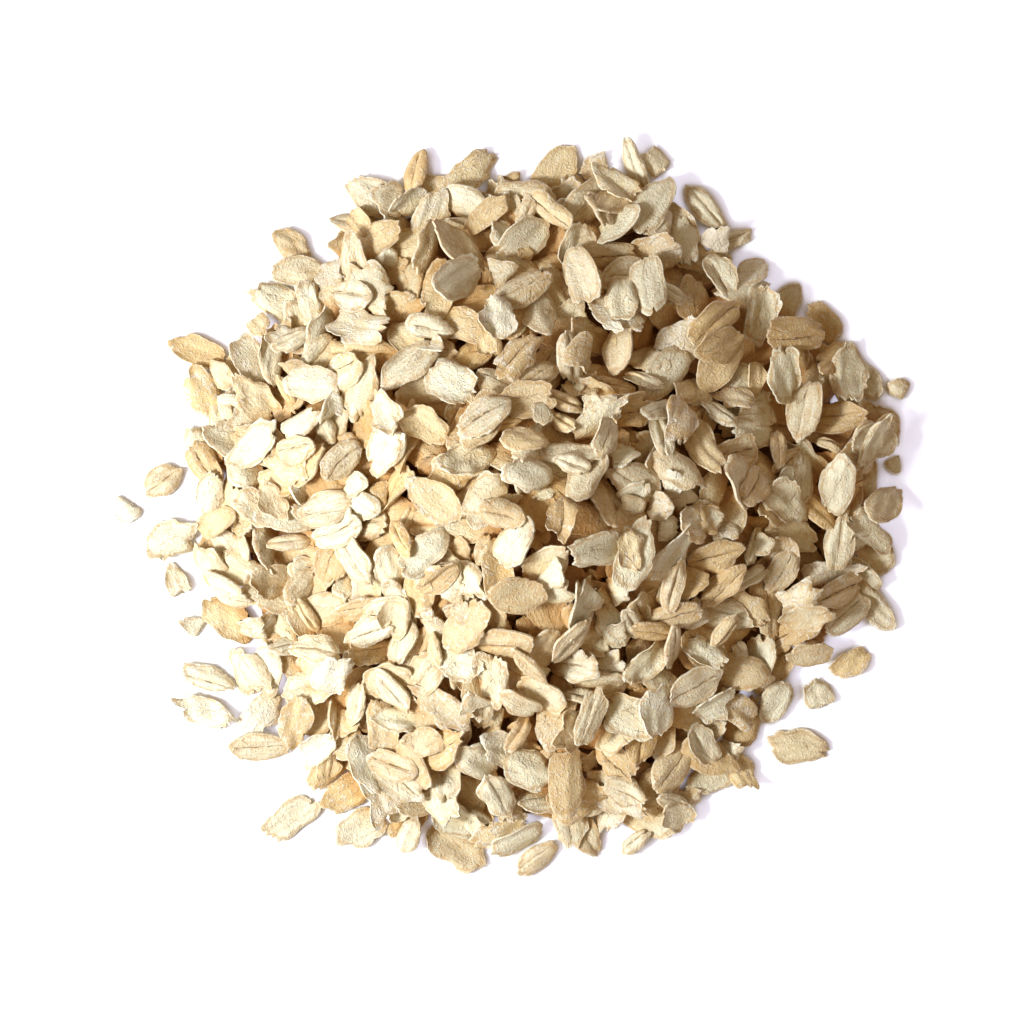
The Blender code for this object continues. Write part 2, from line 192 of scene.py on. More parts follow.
@dataclass(frozen=True)
class FlakeSizes:
    """The size of a whole flake, and how much flakes differ."""

    length: float = 8.7 * MM
    slenderness: float = 0.58
    thickness: float = 0.75 * MM

    def draw(
        self,
        dice: np.random.Generator,
        kind: Kind,
        length: float | None = None,
        width: float | None = None,
        turn: float | None = None,
    ) -> Flake:
        """Makes a flake of a kind, with its own uneven size, outline and warp.

        Args:
            dice: Where the random draws come from.
            kind: The flake's kind.
            length: Its length, or None to draw one.
            width: Its width, or None to draw one.
            turn: The direction that it points in, or None to draw one.

        Returns:
            The flake, not yet laid.
        """
        form = FORMS[kind]
        if length is None:
            length = self.length * form.size * float(np.clip(dice.normal(1.0, 0.14), 0.65, 1.3))
        if width is None:
            spread = float(np.clip(dice.normal(1.0, 0.12), 0.75, 1.3))
            width = length * min(self.slenderness * form.slender * spread, 0.95)
        if turn is None:
            turn = dice.uniform(0, math.tau)
        shares = dice.normal(0, (0.035, 0.035, 0.028, 0.022)) * form.rough
        starts = dice.uniform(0, math.tau, 4)
        warp = dice.normal(0, 1, 3)
        return Flake(
            kind=kind,
            length=length,
            width=width,
            thick=self.thickness * form.thick * float(dice.uniform(0.85, 1.2)),
            cup=warp[0] * 0.80 * MM * form.soft,
            bow=warp[1] * 0.65 * MM * form.soft,
            twist=warp[2] * 0.45 * MM * form.soft,
            lobes=np.column_stack((shares, starts)),
            cut_at=float(dice.uniform(0.05, 0.55)),
            turn=float(turn),
        )


class Ground:
    """The height of what has been laid so far, and which flake lies on top, cell by cell.

    Attributes:
        CELL: Width of a cell.
        REACH: How far the cells go from the heap's middle.
        BED_IN: How far a flake sinks in among those under it.
        STEEPEST: The steepest slope that a flake may have.
    """

    CELL = 0.8 * MM
    REACH = 70.0 * MM
    BED_IN = 0.2 * MM
    STEEPEST = math.tan(math.radians(54))

    def __init__(self, heap: "HeapForm") -> None:
        """Starts from the bare core of a heap."""
        self.line = np.arange(-self.REACH, self.REACH, self.CELL)
        self.aim = np.array([[heap.dome(x, y) for x in self.line] for y in self.line])
        self.base = np.maximum(self.aim - heap.shell_depth, heap.table_gap)
        self.height = self.base.copy()
        self.top = np.full(self.aim.shape, -1)
        self.taken = np.zeros(self.aim.shape, bool)

    def cell(self, value: float) -> int:
        """Index of the cell that holds a coordinate."""
        return int(round((value + self.REACH) / self.CELL))

    def cells(self, values: Array) -> Array:
        """Indices of the cells that hold coordinates."""
        found = np.rint((values + self.REACH) / self.CELL).astype(int)
        return np.clip(found, 0, len(self.line) - 1)

    def even_level(self) -> Array:
        """Height of the laid surface with its ups and downs evened out."""
        return around(self.height, 4)

    def shortfall(self, x: float, y: float) -> float:
        """How far the surface round a point is below the heap's even form."""
        i, j = self.cell(y), self.cell(x)
        patch = np.s_[i - 2 : i + 3, j - 2 : j + 3]
        return float((self.aim[patch] - self.height[patch]).mean())

    def under(self, flake: Flake) -> tuple[tuple[Array, Array], Array, Array, Array, Array]:
        """The cells that a flake covers.

        Args:
            flake: The flake, at its place.

        Returns:
            The cells' rows and columns, their places from the flake's middle, and their shares
            of its oval.
        """
        reach = flake.length * 0.75
        rows = slice(self.cell(flake.y - reach), self.cell(flake.y + reach) + 1)
        columns = slice(self.cell(flake.x - reach), self.cell(flake.x + reach) + 1)
        dx, dy = np.meshgrid(self.line[columns] - flake.x, self.line[rows] - flake.y)
        u, v = flake.local(dx, dy)
        i, j = np.nonzero(np.hypot(u, v) <= flake.rim(np.arctan2(v, u)))
        return (i + rows.start, j + columns.start), dx[i, j], dy[i, j], u[i, j], v[i, j]

    def keep_clear(self, flake: Flake, room: float) -> None:
        """Marks the table under and just round a flake that lies apart from the heap."""
        dx, dy = np.meshgrid(self.line - flake.x, self.line - flake.y)
        u, v = flake.local(dx, dy)
        along, across = u * flake.length / 2, v * flake.width / 2
        reach = room + flake.length / 2, room + flake.width / 2
        self.taken |= np.hypot(along / reach[0], across / reach[1]) < 1

    def settle(self, flake: Flake, lean: tuple[float, float], caught: float) -> float:
        """Brings a flake down at its place, towards its rest on three points.

        Args:
            flake: The flake, at its place.
            lean: The slopes that it comes down at.
            caught: How much of that lean its neighbours hold it at.

        Returns:
            How steep it would have lain.
        """
        cells, dx, dy, u, v = self.under(flake)
        needed = self.height[cells] - flake.rise(u, v) + flake.thick / 2
        _, rest_x, rest_y = resting_plane(dx, dy, needed)
        flake.slope_x = rest_x + caught * (lean[0] - rest_x)
        flake.slope_y = rest_y + caught * (lean[1] - rest_y)
        slope = math.hypot(flake.slope_x, flake.slope_y)
        if slope > self.STEEPEST:
            flake.slope_x *= self.STEEPEST / slope
            flake.slope_y *= self.STEEPEST / slope
        over = needed - flake.slope_x * dx - flake.slope_y * dy
        flake.z = float(over.max()) - self.BED_IN
        return slope

    def clear(self, flake: Flake) -> bool:
        """Whether a flake keeps off the table round the loose ones."""
        return not self.taken[self.under(flake)[0]].any()

    def cover(self, flake: Flake, flakes: list[Flake]) -> None:
        """Adds a settled flake to the surface and to the list of laid ones."""
        cells, dx, dy, u, v = self.under(flake)
        plane = flake.z + flake.slope_x * dx + flake.slope_y * dy
        upper = plane + flake.rise(u, v) + flake.thick / 2
        raised = upper > self.height[cells]
        rows, columns = cells[0][raised], cells[1][raised]
        self.height[rows, columns] = upper[raised]
        self.top[rows, columns] = len(flakes)
        flakes.append(flake)


def around(values: Array, reach: int) -> Array:
    """The mean of each cell with its neighbours, up to so many cells away."""
    wide = 2 * reach + 1
    total = np.pad(values, ((reach + 1, reach), (reach + 1, reach)), mode="edge")
    total = total.cumsum(0).cumsum(1)
    rows = total[wide:] - total[:-wide]
    return (rows[:, wide:] - rows[:, :-wide]) / wide**2


def share_of_corners(corners: list[Corner]) -> float:
    """How far inside a triangle the middle lies: its least share among the three corners."""
    (ax, ay, _), (bx, by, _), (cx, cy, _) = corners
    whole = (bx - ax) * (cy - ay) - (cx - ax) * (by - ay)
    if abs(whole) < 1e-12:
        return -math.inf
    first = (bx * cy - cx * by) / whole
    second = (cx * ay - ax * cy) / whole
    return min(first, second, 1 - first - second)


def plane_through(corners: list[Corner]) -> Corner:
    """Height at the middle and slopes of the plane through three points."""
    (ax, ay, az), (bx, by, bz), (cx, cy, cz) = corners
    whole = (bx - ax) * (cy - ay) - (cx - ax) * (by - ay)
    slope_x = ((bz - az) * (cy - ay) - (cz - az) * (by - ay)) / whole
    slope_y = ((bx - ax) * (cz - az) - (cx - ax) * (bz - az)) / whole
    return az - slope_x * ax - slope_y * ay, slope_x, slope_y


def resting_plane(dx: Array, dy: Array, needed: Array) -> Corner:
    """Finds the plane that a stiff flake settles on.

    It is held at three points whose triangle holds the flake's middle.

    Args:
        dx: Places of the covered cells from the flake's middle.
        dy: The same, in the other direction.
        needed: Least height of the flake's plane over each cell.

    Returns:
        The plane's height at the middle and its two slopes.
    """
    far, deep = 1.0, -100.0
    thirds = [math.tau * k / 3 + 0.1 for k in range(3)]
    corners = [(far * math.cos(t), far * math.sin(t), deep) for t in thirds]
    for _ in range(60):
        height, slope_x, slope_y = plane_through(corners)
        above = needed - (height + slope_x * dx + slope_y * dy)
        worst = int(above.argmax())
        if above[worst] < 1e-7:
            break
        touch = (float(dx[worst]), float(dy[worst]), float(needed[worst]))
        swaps = [corners[:k] + [touch] + corners[k + 1 :] for k in range(3)]
        corners = max(swaps, key=share_of_corners)
    return plane_through(corners)


@dataclass(frozen=True)
class Placed:
    """A flake whose place is given, in millimetres from the heap's middle and in degrees."""

    x: float
    y: float
    length: float
    width: float
    turn: float
    kind: Kind

    def size(self) -> tuple[float, float, float]:
        """Length and width in metres, and turn in radians."""
        return self.length * MM, self.width * MM, math.radians(self.turn)


@dataclass
class HeapForm:
    """The heap's sizes, and the rule by which its flakes are laid.

    Attributes:
        place: The heap's middle.
        radius: Its foot's mean reach.
        height: Its height.
        crown: How flat its crown is.
        skirt: How softly it runs out at the foot.
        lobes: The foot's lobes: how many, how high as a share of the radius, and their start.
        shell_depth: How far under the even form the bare core lies.
        table_gap: Least height of the core over the table.
        foot_flakes: Flakes that go to the foot before the rest go anywhere.
        foot_band: How far inside the foot's edge those lie.
        proud: How far over the even form a flake still counts as filling it.
        lean: Range of the angles that flakes come down at, in radians.
        caught: How much of that lean a flake's neighbours may hold it at.
        stray_room: Free table round a loose flake.
        tries: Places that are drawn for a flake.
        best: How many of them, the emptiest first, are tried.
        backing_depth: How deep the flakes behind the gaps lie, at the left and the right.
        backing_least: How deep under that a gap has to be.
        backing_drop: How much deeper such a flake may lie.
        backing_tilt: How far its slopes stray from the heap's own.
        fillers: Flakes that fill what is left of the gaps.
        filler_steepest: The steepest that one of them lies.
        filler_lowest: Least height of the heap where they are laid.
        filler_highest: How far over the even level one may lie.
        sizes: How large flakes are.
        rim_flakes: The flakes that make the outline.
        strays: The flakes that lie clear of the heap.
        foot_fillers: Flakes under the outermost ones.
    """

    place: tuple[float, float] = (3.26 * MM, -0.21 * MM)
    radius: float = 56.0 * MM
    height: float = 24.5 * MM
    crown: float = 1.4
    skirt: float = 1.25
    lobes: tuple[tuple[int, float, float], ...] = (
        (1, 0.023, 1.08),
        (2, 0.016, 2.76),
        (3, 0.030, 0.78),
        (4, 0.020, -0.58),
        (5, 0.018, 0.59),
        (6, 0.013, -0.28),
        (8, 0.020, -2.73),
    )
    shell_depth: float = 6.5 * MM
    table_gap: float = 0.3 * MM
    foot_flakes: int = 150
    foot_band: tuple[float, float] = (3.0 * MM, 11.0 * MM)
    proud: float = 1.4 * MM
    lean: tuple[float, float] = (0.25, 0.9)
    caught: float = 0.30
    stray_room: float = 0.8 * MM
    tries: int = 8
    best: int = 3
    backing_depth: tuple[float, float] = (1.2 * MM, 2.6 * MM)
    backing_least: float = 0.5 * MM
    backing_drop: float = 0.5 * MM
    backing_tilt: float = 0.12
    fillers: int = 44
    filler_steepest: float = 1.0
    filler_lowest: float = 1.2 * MM
    filler_highest: float = 0.5 * MM
    sizes: FlakeSizes = field(default_factory=FlakeSizes)
    rim_flakes: tuple[Placed, ...] = (
        Placed(-26.0, 41.5, 10.5, 5.0, -8, Kind.SMOOTH),
        Placed(-27.5, 45.0, 8.0, 3.6, -5, Kind.CREASED),
        Placed(-24.8, 49.3, 9.2, 5.6, -33, Kind.SMOOTH),
        Placed(-14.5, 49.5, 7.0, 5.0, -70, Kind.SMOOTH),
        Placed(-17.8, 53.2, 7.0, 3.8, 75, Kind.NARROW),
        Placed(-9.5, 52.8, 9.4, 5.5, 35, Kind.TORN),
        Placed(-2.5, 51.5, 5.0, 3.2, 0, Kind.BROKEN),
        Placed(4.0, 53.2, 9.5, 6.0, 55, Kind.SMOOTH),
        Placed(11.2, 53.6, 6.5, 5.0, 10, Kind.BROKEN),
        Placed(20.3, 54.2, 6.4, 4.0, -40, Kind.BROKEN),
        Placed(16.6, 53.6, 9.6, 3.4, -70, Kind.NARROW),
        Placed(27.6, 47.4, 9.0, 3.8, -48, Kind.NARROW),
        Placed(31.8, 42.4, 6.4, 2.6, 22, Kind.NARROW),
        Placed(39.5, 31.5, 9.4, 5.0, 50, Kind.SMOOTH),
        Placed(46.3, 29.5, 7.4, 4.2, -62, Kind.SMOOTH),
        Placed(45.0, 23.5, 7.5, 5.4, -60, Kind.SMOOTH),
        Placed(52.4, 20.6, 7.5, 4.6, -45, Kind.SMOOTH),
        Placed(55.0, 13.4, 8.0, 6.0, -50, Kind.TORN),
        Placed(52.4, 4.6, 10.2, 4.4, 82, Kind.SMOOTH),
        Placed(54.0, -6.4, 8.6, 5.4, -60, Kind.SMOOTH),
        Placed(52.0, -10.0, 8.0, 3.8, -35, Kind.SMOOTH),
        Placed(54.0, -15.2, 9.0, 4.6, -50, Kind.SMOOTH),
        Placed(45.4, -19.8, 6.0, 4.0, -30, Kind.BROKEN),
        Placed(38.0, -24.6, 10.0, 5.4, 65, Kind.SMOOTH),
        Placed(33.6, -33.6, 8.6, 5.2, 68, Kind.SMOOTH),
        Placed(28.0, -42.4, 7.4, 4.2, 15, Kind.SMOOTH),
        Placed(33.2, -41.0, 6.2, 4.0, -60, Kind.TORN),
        Placed(23.6, -45.6, 6.4, 4.2, 10, Kind.TORN),
        Placed(18.0, -48.4, 10.2, 5.2, -25, Kind.SMOOTH),
        Placed(16.6, -52.2, 5.4, 2.6, 42, Kind.NARROW),
        Placed(8.2, -50.2, 9.2, 4.6, -62, Kind.CREASED),
        Placed(1.0, -54.8, 7.6, 3.6, 38, Kind.NARROW),
        Placed(-11.6, -53.2, 9.8, 6.8, -35, Kind.TORN),
        Placed(-19.0, -48.8, 7.4, 3.8, 40, Kind.CREASED),
        Placed(-28.4, -44.2, 9.2, 5.4, 30, Kind.SMOOTH),
        Placed(-26.6, -50.0, 8.6, 6.0, 25, Kind.SMOOTH),
        Placed(-31.6, -40.4, 8.6, 4.6, 48, Kind.SMOOTH),
        Placed(-42.4, -32.2, 9.0, 5.0, 60, Kind.TORN),
        Placed(-42.4, -37.0, 9.4, 4.8, 0, Kind.CREASED),
        Placed(-47.6, -17.0, 9.2, 6.0, -35, Kind.SMOOTH),
        Placed(-52.0, -18.6, 6.0, 3.4, -25, Kind.BROKEN),
        Placed(-48.2, -4.8, 8.4, 5.0, 30, Kind.SMOOTH),
        Placed(-51.4, 9.4, 8.4, 5.0, -60, Kind.TORN),
        Placed(-51.4, 18.6, 8.4, 5.6, -65, Kind.SMOOTH),
        Placed(-52.2, 25.0, 8.4, 4.8, -25, Kind.SMOOTH),
        Placed(-45.4, 22.4, 8.6, 4.8, 60, Kind.SMOOTH),
        Placed(-39.6, 32.6, 9.2, 5.2, -30, Kind.TORN),
        Placed(-37.4, 41.4, 7.0, 4.4, -50, Kind.SMOOTH),
        Placed(-35.6, 37.2, 9.6, 5.0, -8, Kind.SMOOTH),
    )
    strays: tuple[Placed, ...] = (
        Placed(42.2, -37.2, 9.0, 5.8, -4, Kind.SMOOTH),
        Placed(-37.5, -48.4, 9.6, 5.2, 34, Kind.SMOOTH),
        Placed(-50.6, -26.4, 8.6, 3.8, -18, Kind.CREASED),
        Placed(-51.2, -31.6, 9.4, 4.4, -20, Kind.TORN),
        Placed(-57.8, 4.6, 6.6, 4.6, 32, Kind.NARROW),
        Placed(-63.4, 0.3, 5.0, 4.6, 60, Kind.BROKEN),
        Placed(-56.6, -4.6, 8.0, 7.2, 28, Kind.TORN),
        Placed(-55.2, -12.0, 6.8, 3.8, -66, Kind.BROKEN),
        Placed(50.6, -24.0, 6.4, 3.9, 28, Kind.SMOOTH),
        Placed(45.4, -29.4, 5.6, 4.6, -70, Kind.BROKEN),
        Placed(58.3, 19.0, 4.0, 3.2, -30, Kind.BROKEN),
        Placed(57.6, 7.2, 3.2, 2.6, 10, Kind.BROKEN),
    )
    foot_fillers: tuple[Placed, ...] = (
        Placed(-49.6, -9.6, 9.0, 5.2, -62, Kind.SMOOTH),
        Placed(-47.4, -12.6, 8.6, 5.0, -30, Kind.CREASED),
        Placed(-50.2, 2.4, 7.2, 4.4, 72, Kind.TORN),
        Placed(-49.0, -2.0, 8.0, 4.6, 20, Kind.SMOOTH),
        Placed(-44.6, -25.4, 8.0, 4.8, -65, Kind.TORN),
        Placed(38.6, -30.0, 7.4, 4.6, 60, Kind.SMOOTH),
    )

    def foot_radius(self, angle: float) -> float:
        """How far the heap's foot reaches in a direction."""
        lobes = sum(share * math.cos(n * angle - start) for n, share, start in self.lobes)
        return self.radius * (1 + lobes)

    def dome(self, x: float, y: float) -> float:
        """Height of the heap's even form over a point."""
        reach = math.hypot(x, y) / self.foot_radius(math.atan2(y, x))
        return self.height * max(0.0, 1 - reach**self.crown) ** self.skirt

    def place_at_foot(self, dice: np.random.Generator) -> tuple[float, float]:
        """A place in the band along the foot."""
        angle = dice.uniform(-math.pi, math.pi)
        reach = self.foot_radius(angle) - dice.uniform(*self.foot_band)
        return reach * math.cos(angle), reach * math.sin(angle)

    def place_in_heap(self, dice: np.random.Generator) -> tuple[float, float]:
        """A place anywhere within the foot."""
        angle = dice.uniform(-math.pi, math.pi)
        reach = (self.foot_radius(angle) - self.foot_band[0]) * math.sqrt(dice.uniform())
        return reach * math.cos(angle), reach * math.sin(angle)

    def lay(self, strays: list[Flake]) -> tuple[list[Flake], Ground]:
        """Lays flakes until the heap has its even form.

        Args:
            strays: The flakes that the heap keeps clear of.

        Returns:
            All its flakes, lowest first, and the surface that they make.
        """
        dice = np.random.default_rng(SEED)
        ground = Ground(self)
        for stray in strays:
            ground.keep_clear(stray, self.stray_room)
        flakes: list[Flake] = []
        self.place_by_hand(self.rim_flakes, flakes, dice, ground)
        inside = ground.aim > 0
        kinds = list(Kind)
        shares = np.array([FORMS[kind].share for kind in kinds])
        while np.maximum(ground.aim - ground.height, -self.proud)[inside].mean() > 0:
            flake = self.sizes.draw(dice, kinds[dice.choice(len(kinds), p=shares)])
            at_foot = len(flakes) < self.foot_flakes + len(self.rim_flakes)
            new_place = self.place_at_foot if at_foot else self.place_in_heap
            places = [new_place(dice) for _ in range(self.tries)]
            places.sort(key=lambda place: -ground.shortfall(*place))
            steep, way = math.tan(dice.uniform(*self.lean)), dice.uniform(0, math.tau)
            lean = (steep * math.cos(way), steep * math.sin(way))
            caught = self.caught * dice.uniform() ** 1.5
            for flake.x, flake.y in places[: self.best]:
                steepness = ground.settle(flake, lean, caught)
                if steepness < ground.STEEPEST and ground.clear(flake):
                    ground.cover(flake, flakes)
                    break
        return flakes, ground

    def back_gaps(self, flakes: list[Flake], ground: Ground) -> None:
        """Slides flakes in under the open gaps, along the heap's slope.

        Args:
            flakes: The laid flakes, to which the new ones are added.
            ground: The surface that they make.
        """
        dice = np.random.default_rng(SEED + 6)
        self.place_by_hand(self.foot_fillers, flakes, dice, ground)
        kinds = (Kind.SMOOTH, Kind.CREASED, Kind.TORN, Kind.BROKEN)
        level = ground.even_level()
        slopes_y, slopes_x = np.gradient(level, ground.CELL)
        ends = (-self.radius, self.radius)
        depth = np.interp(ground.line, ends, self.backing_depth)
        closed = np.where(level > 2 * depth, 0.0, 1.0)
        while True:
            gaps = around(level - ground.height, 1) - depth - closed
            i, j = np.unravel_index(int(gaps.argmax()), gaps.shape)
            if gaps[i, j] < self.backing_least:
                return
            closed[i - 1 : i + 2, j - 1 : j + 2] = 1.0
            flake = self.sizes.draw(dice, kinds[dice.integers(len(kinds))])
            flake.x, flake.y = ground.line[j], ground.line[i]
            flake.cup, flake.bow, flake.twist = flake.cup / 2, flake.bow / 2, flake.twist / 2
            flake.slope_x = slopes_x[i, j] + dice.normal(0, self.backing_tilt)
            flake.slope_y = slopes_y[i, j] + dice.normal(0, self.backing_tilt)
            flake.z = level[i, j] - depth[j] - dice.uniform(0, self.backing_drop)
            ground.cover(flake, flakes)

    def fill_gaps(self, flakes: list[Flake], ground: Ground) -> None:
        """Lays more flakes over the deepest gaps between the laid ones.

        Args:
            flakes: The laid flakes, to which the new ones are added.
            ground: The surface that they make.
        """
        dice = np.random.default_rng(SEED + 5)
        kinds = (Kind.SMOOTH, Kind.CREASED, Kind.TORN)
        tried = np.where(ground.aim > self.filler_lowest, 0.0, -1.0)
        outward = 1.3 - 0.6 * ground.aim / self.height
        added = 0
        while added < self.fillers:
            level = ground.even_level()
            gaps = around(level - ground.height, 1) * outward + tried
            i, j = np.unravel_index(int(gaps.argmax()), gaps.shape)
            tried[i - 2 : i + 3, j - 2 : j + 3] -= 0.4 * MM
            flake = self.sizes.draw(dice, kinds[dice.integers(len(kinds))])
            flake.x, flake.y = ground.line[j], ground.line[i]
            steepness = ground.settle(flake, (0.0, 0.0), 0.0)
            low = flake.z < level[i, j] + self.filler_highest
            if steepness < self.filler_steepest and ground.clear(flake) and low:
                ground.cover(flake, flakes)
                added += 1

    def place_by_hand(
        self,
        rows: tuple[Placed, ...],
        flakes: list[Flake],
        dice: np.random.Generator,
        ground: Ground,
    ) -> None:
        """Lays flakes at given places.

        Args:
            rows: Where they lie, and their sizes.
            flakes: The laid flakes, to which the new ones are added.
            dice: Where the random draws come from.
            ground: The surface that they come down on.
        """
        for row in rows:
            flake = self.sizes.draw(dice, row.kind, *row.size())
            flake.x, flake.y = row.x * MM, row.y * MM
            ground.settle(flake, (0.0, 0.0), 0.0)
            ground.cover(flake, flakes)

    def lay_strays(self) -> list[Flake]:
        """The flakes that lie clear of the heap, flat on the table."""
        dice = np.random.default_rng(SEED + 1)
        laid = []
        for stray in self.strays:
            flake = self.sizes.draw(dice, stray.kind, *stray.size())
            flake.x, flake.y, flake.z = stray.x * MM, stray.y * MM, -stray.length * MM
            laid.append(flake)
        return laid


@dataclass
class Shape:
    """A mesh as arrays, with what its material reads at each point.

    Attributes:
        points: Places, in metres.
        faces: Corner indices, four to a face.
        oval: Shares along and across the flake, and across it from its crease.
        lie: 1 above and -1 below, and how far it lies under the heap's even level, in millimetres, from
            which the material paints shade.
        grain: Place on the flake in millimetres, with its own third value.
        tint: Three random values that all of a flake's points share.
    """

    points: Array
    faces: Array
    oval: Array
    lie: Array
    grain: Array
    tint: Array


@dataclass(frozen=True)
class Disc:
    """A round sheet of quads on a square grid.

    Attributes:
        rows: Points along the disc.
        columns: Points across it, an odd number.
        crowding: How much the columns crowd to the middle.
    """

    rows: int
    columns: int
    crowding: float

    def spread(self) -> tuple[Array, Array]:
        """Places on the square, along and across, from -1 to 1."""
        along = np.linspace(-1, 1, self.rows)
        across = np.linspace(-1, 1, self.columns)
        across = np.sign(across) * np.abs(across) ** self.crowding
        return np.meshgrid(along, across, indexing="ij")

    def faces(self) -> Array:
        """Quads of the sheet, seen from above."""
        index = np.arange(self.rows * self.columns).reshape(self.rows, self.columns)
        corners = (index[:-1, :-1], index[1:, :-1], index[1:, 1:], index[:-1, 1:])
        return np.stack(corners, axis=-1).reshape(-1, 4)

    def edge(self) -> Array:
        """Indices round the sheet's edge, counter-clockwise from above."""
        index = np.arange(self.rows * self.columns).reshape(self.rows, self.columns)
        return np.concatenate((index[:-1, 0], index[-1, :-1], index[:0:-1, -1], index[0, :0:-1]))


class FlakeModeller:
    """Shapes single flakes: two sheets with a thin rim between them, ragged, warped and curled.

    Attributes:
        CORNERS: Waves round the rim that make its corners and dents.
        TEETH: Waves round the rim that make its teeth.
        SPLIT_WIDTH: Range of a split's width, in radians.
        SPLIT_DEPTH: Range of its depth, as a share of the radius.
        RIM_SWELL: How far the rim stands out at half the thickness.
        THIN_EDGE: How much a flat flake thins towards its rim.
        VALLEY: Depth of the valley along the crease.
        VALLEY_WIDTH: Its width, as a share of the half width.
        STIFF: Share of the warp that the settled flake keeps.
        WHOLE: Length from which a flake has its full curl and waves.
        BROAD: Width over which a flake is drawn in.
        SWAY: How far the long lines bend sideways.
        EGG: How far one end is wider than the other.
        POINT: Range of how far both ends are drawn out to a point.
    """

    CORNERS = np.arange(3, 8)
    TEETH = np.arange(9, 24)
    SPLIT_WIDTH = (0.05, 0.11)
    SPLIT_DEPTH = (0.10, 0.30)
    RIM_SWELL = 0.07 * MM
    THIN_EDGE = 0.45
    VALLEY = 0.16 * MM
    VALLEY_WIDTH = 0.13
    STIFF = 0.4
    WHOLE = 8.0 * MM
    BROAD = 5.2 * MM
    SWAY = 0.09
    EGG = 0.11
    POINT = (-0.16, 0.14)

    def __init__(self, seed: int, ground: Ground) -> None:
        """Starts the random draws for the fine relief, and notes how high the heap stands."""
        self.dice = np.random.default_rng(seed)
        self.ground = ground
        self.level = ground.even_level()

    def waves_round(self, angle: Array, counts: Array, size: float) -> Array:
        """A random sum of waves round the flake, with a given standard height."""
        sizes = self.dice.normal(0, size * (2 / len(counts)) ** 0.5, len(counts))
        starts = self.dice.uniform(0, math.tau, len(counts))
        return sum(high * np.cos(n * angle - start) for n, high, start in zip(counts, sizes, starts))

    def teeth(self, angle: Array, form: KindForm) -> Array:
        """Corners, fine teeth and splits along the rim, most of them at the flake's two ends."""
        ends = 0.5 + 0.8 * np.cos(angle) ** 2
        where = np.clip(0.75 + self.waves_round(angle, np.arange(1, 4), 0.5), 0.1, 1.6)
        reach = self.waves_round(angle, self.TEETH, form.ragged) * where * ends
        reach = reach + self.waves_round(angle, self.CORNERS, form.uneven)
        for _ in range(self.dice.integers(0, form.splits + 1)):
            middle = self.dice.choice((0, math.pi)) + self.dice.normal(0, 0.6)
            wide = self.dice.uniform(*self.SPLIT_WIDTH)
            apart = (angle - middle + math.pi) % math.tau - math.pi
            reach = reach - self.dice.uniform(*self.SPLIT_DEPTH) * np.exp(-((apart / wide) ** 2))
        return reach

    def waves(self, u: Array, v: Array, height: float) -> Array:
        """Low waves over the flake's face, and finer ones along it."""
        rise = np.zeros_like(u)
        for _ in range(5):
            pull = self.dice.normal(0, 3.2, 2)
            rise += np.cos(pull[0] * u + pull[1] * v + self.dice.uniform(0, math.tau))
        for _ in range(3):
            pull = self.dice.uniform(6, 12)
            bend = self.dice.normal(0, 1.2) * u * u + self.dice.normal(0, 0.8) * u
            rise += 0.5 * np.cos(pull * v + bend + self.dice.uniform(0, math.tau))
        return rise * height / 2.2

    def fold(self, u: Array, v: Array, height: float) -> Array:
        """A soft fold along a line across or along the flake."""
        way = self.dice.uniform(0, math.tau)
        off = math.cos(way) * u + math.sin(way) * v - self.dice.uniform(-0.4, 0.4)
        return self.dice.normal(0, height) * (np.sqrt(off**2 + 0.002) - 0.4)

    def shape(self, flake: Flake, disc: Disc, place: tuple[float, float], least: float) -> Shape:
        """Models one flake where it lies.

        Args:
            flake: The laid flake.
            disc: The grid for each of its two faces.
            place: Where the heap's middle is.
            least: The lowest that any of it may reach.

        Returns:
            The flake's mesh.
        """
        form = FORMS[flake.kind]
        small = min(1.0, flake.length / self.WHOLE)
        s, t = disc.spread()
        bend = self.dice.normal(0, self.SWAY, 2)
        bent = t + (bend[0] * s * s + bend[1] * s) * (1 - t * t)
        across = bent * np.sqrt(1 - s * s / 2)
        along = s * np.sqrt(1 - bent * bent / 2)
        angle, rho = np.arctan2(across, along), np.hypot(along, across)
        reach = flake.rim(angle) + rho**4 * self.teeth(angle, form)
        egg, point = self.dice.normal(0, self.EGG), self.dice.uniform(*self.POINT)
        u = along * reach
        v = across * reach * (1 + 0.15 * point - egg * along - point * along**2)
        v *= min(1.0, (self.BROAD / flake.width) ** 0.5)
        crease = t - self.dice.normal(0, 0.13) - self.dice.normal(0, 0.12) * s * s

        flat = 1 - self.THIN_EDGE * rho**4
        round_ = np.sqrt(np.maximum(0.10, 1 - 0.9 * rho**2))
        half = flake.thick / 2 * (flat * (1 - form.plump) + round_ * form.plump)
        curl = self.waves_round(angle, np.arange(1, 4), form.curl * small)
        middle = self.STIFF * flake.rise(u, v) + self.waves(u, v, form.crumple * small)
        for _ in range(2):
            middle = middle + self.fold(u, v, form.curl * small)
        middle = middle + curl * np.maximum(0, (rho - 0.5) / 0.5) ** 2
        top, low = middle + half, middle - half
        if form.lobes:
            run = np.clip((0.9 - np.abs(s)) / 0.3, 0, 1)
            swell = np.sin(math.pi * np.minimum(1, np.abs(crease) * 1.1)) * form.lobes
            valley = np.exp(-((crease / self.VALLEY_WIDTH) ** 2)) * self.VALLEY
            top = top + run * (swell - valley) * self.dice.uniform(0.5, 1.2)

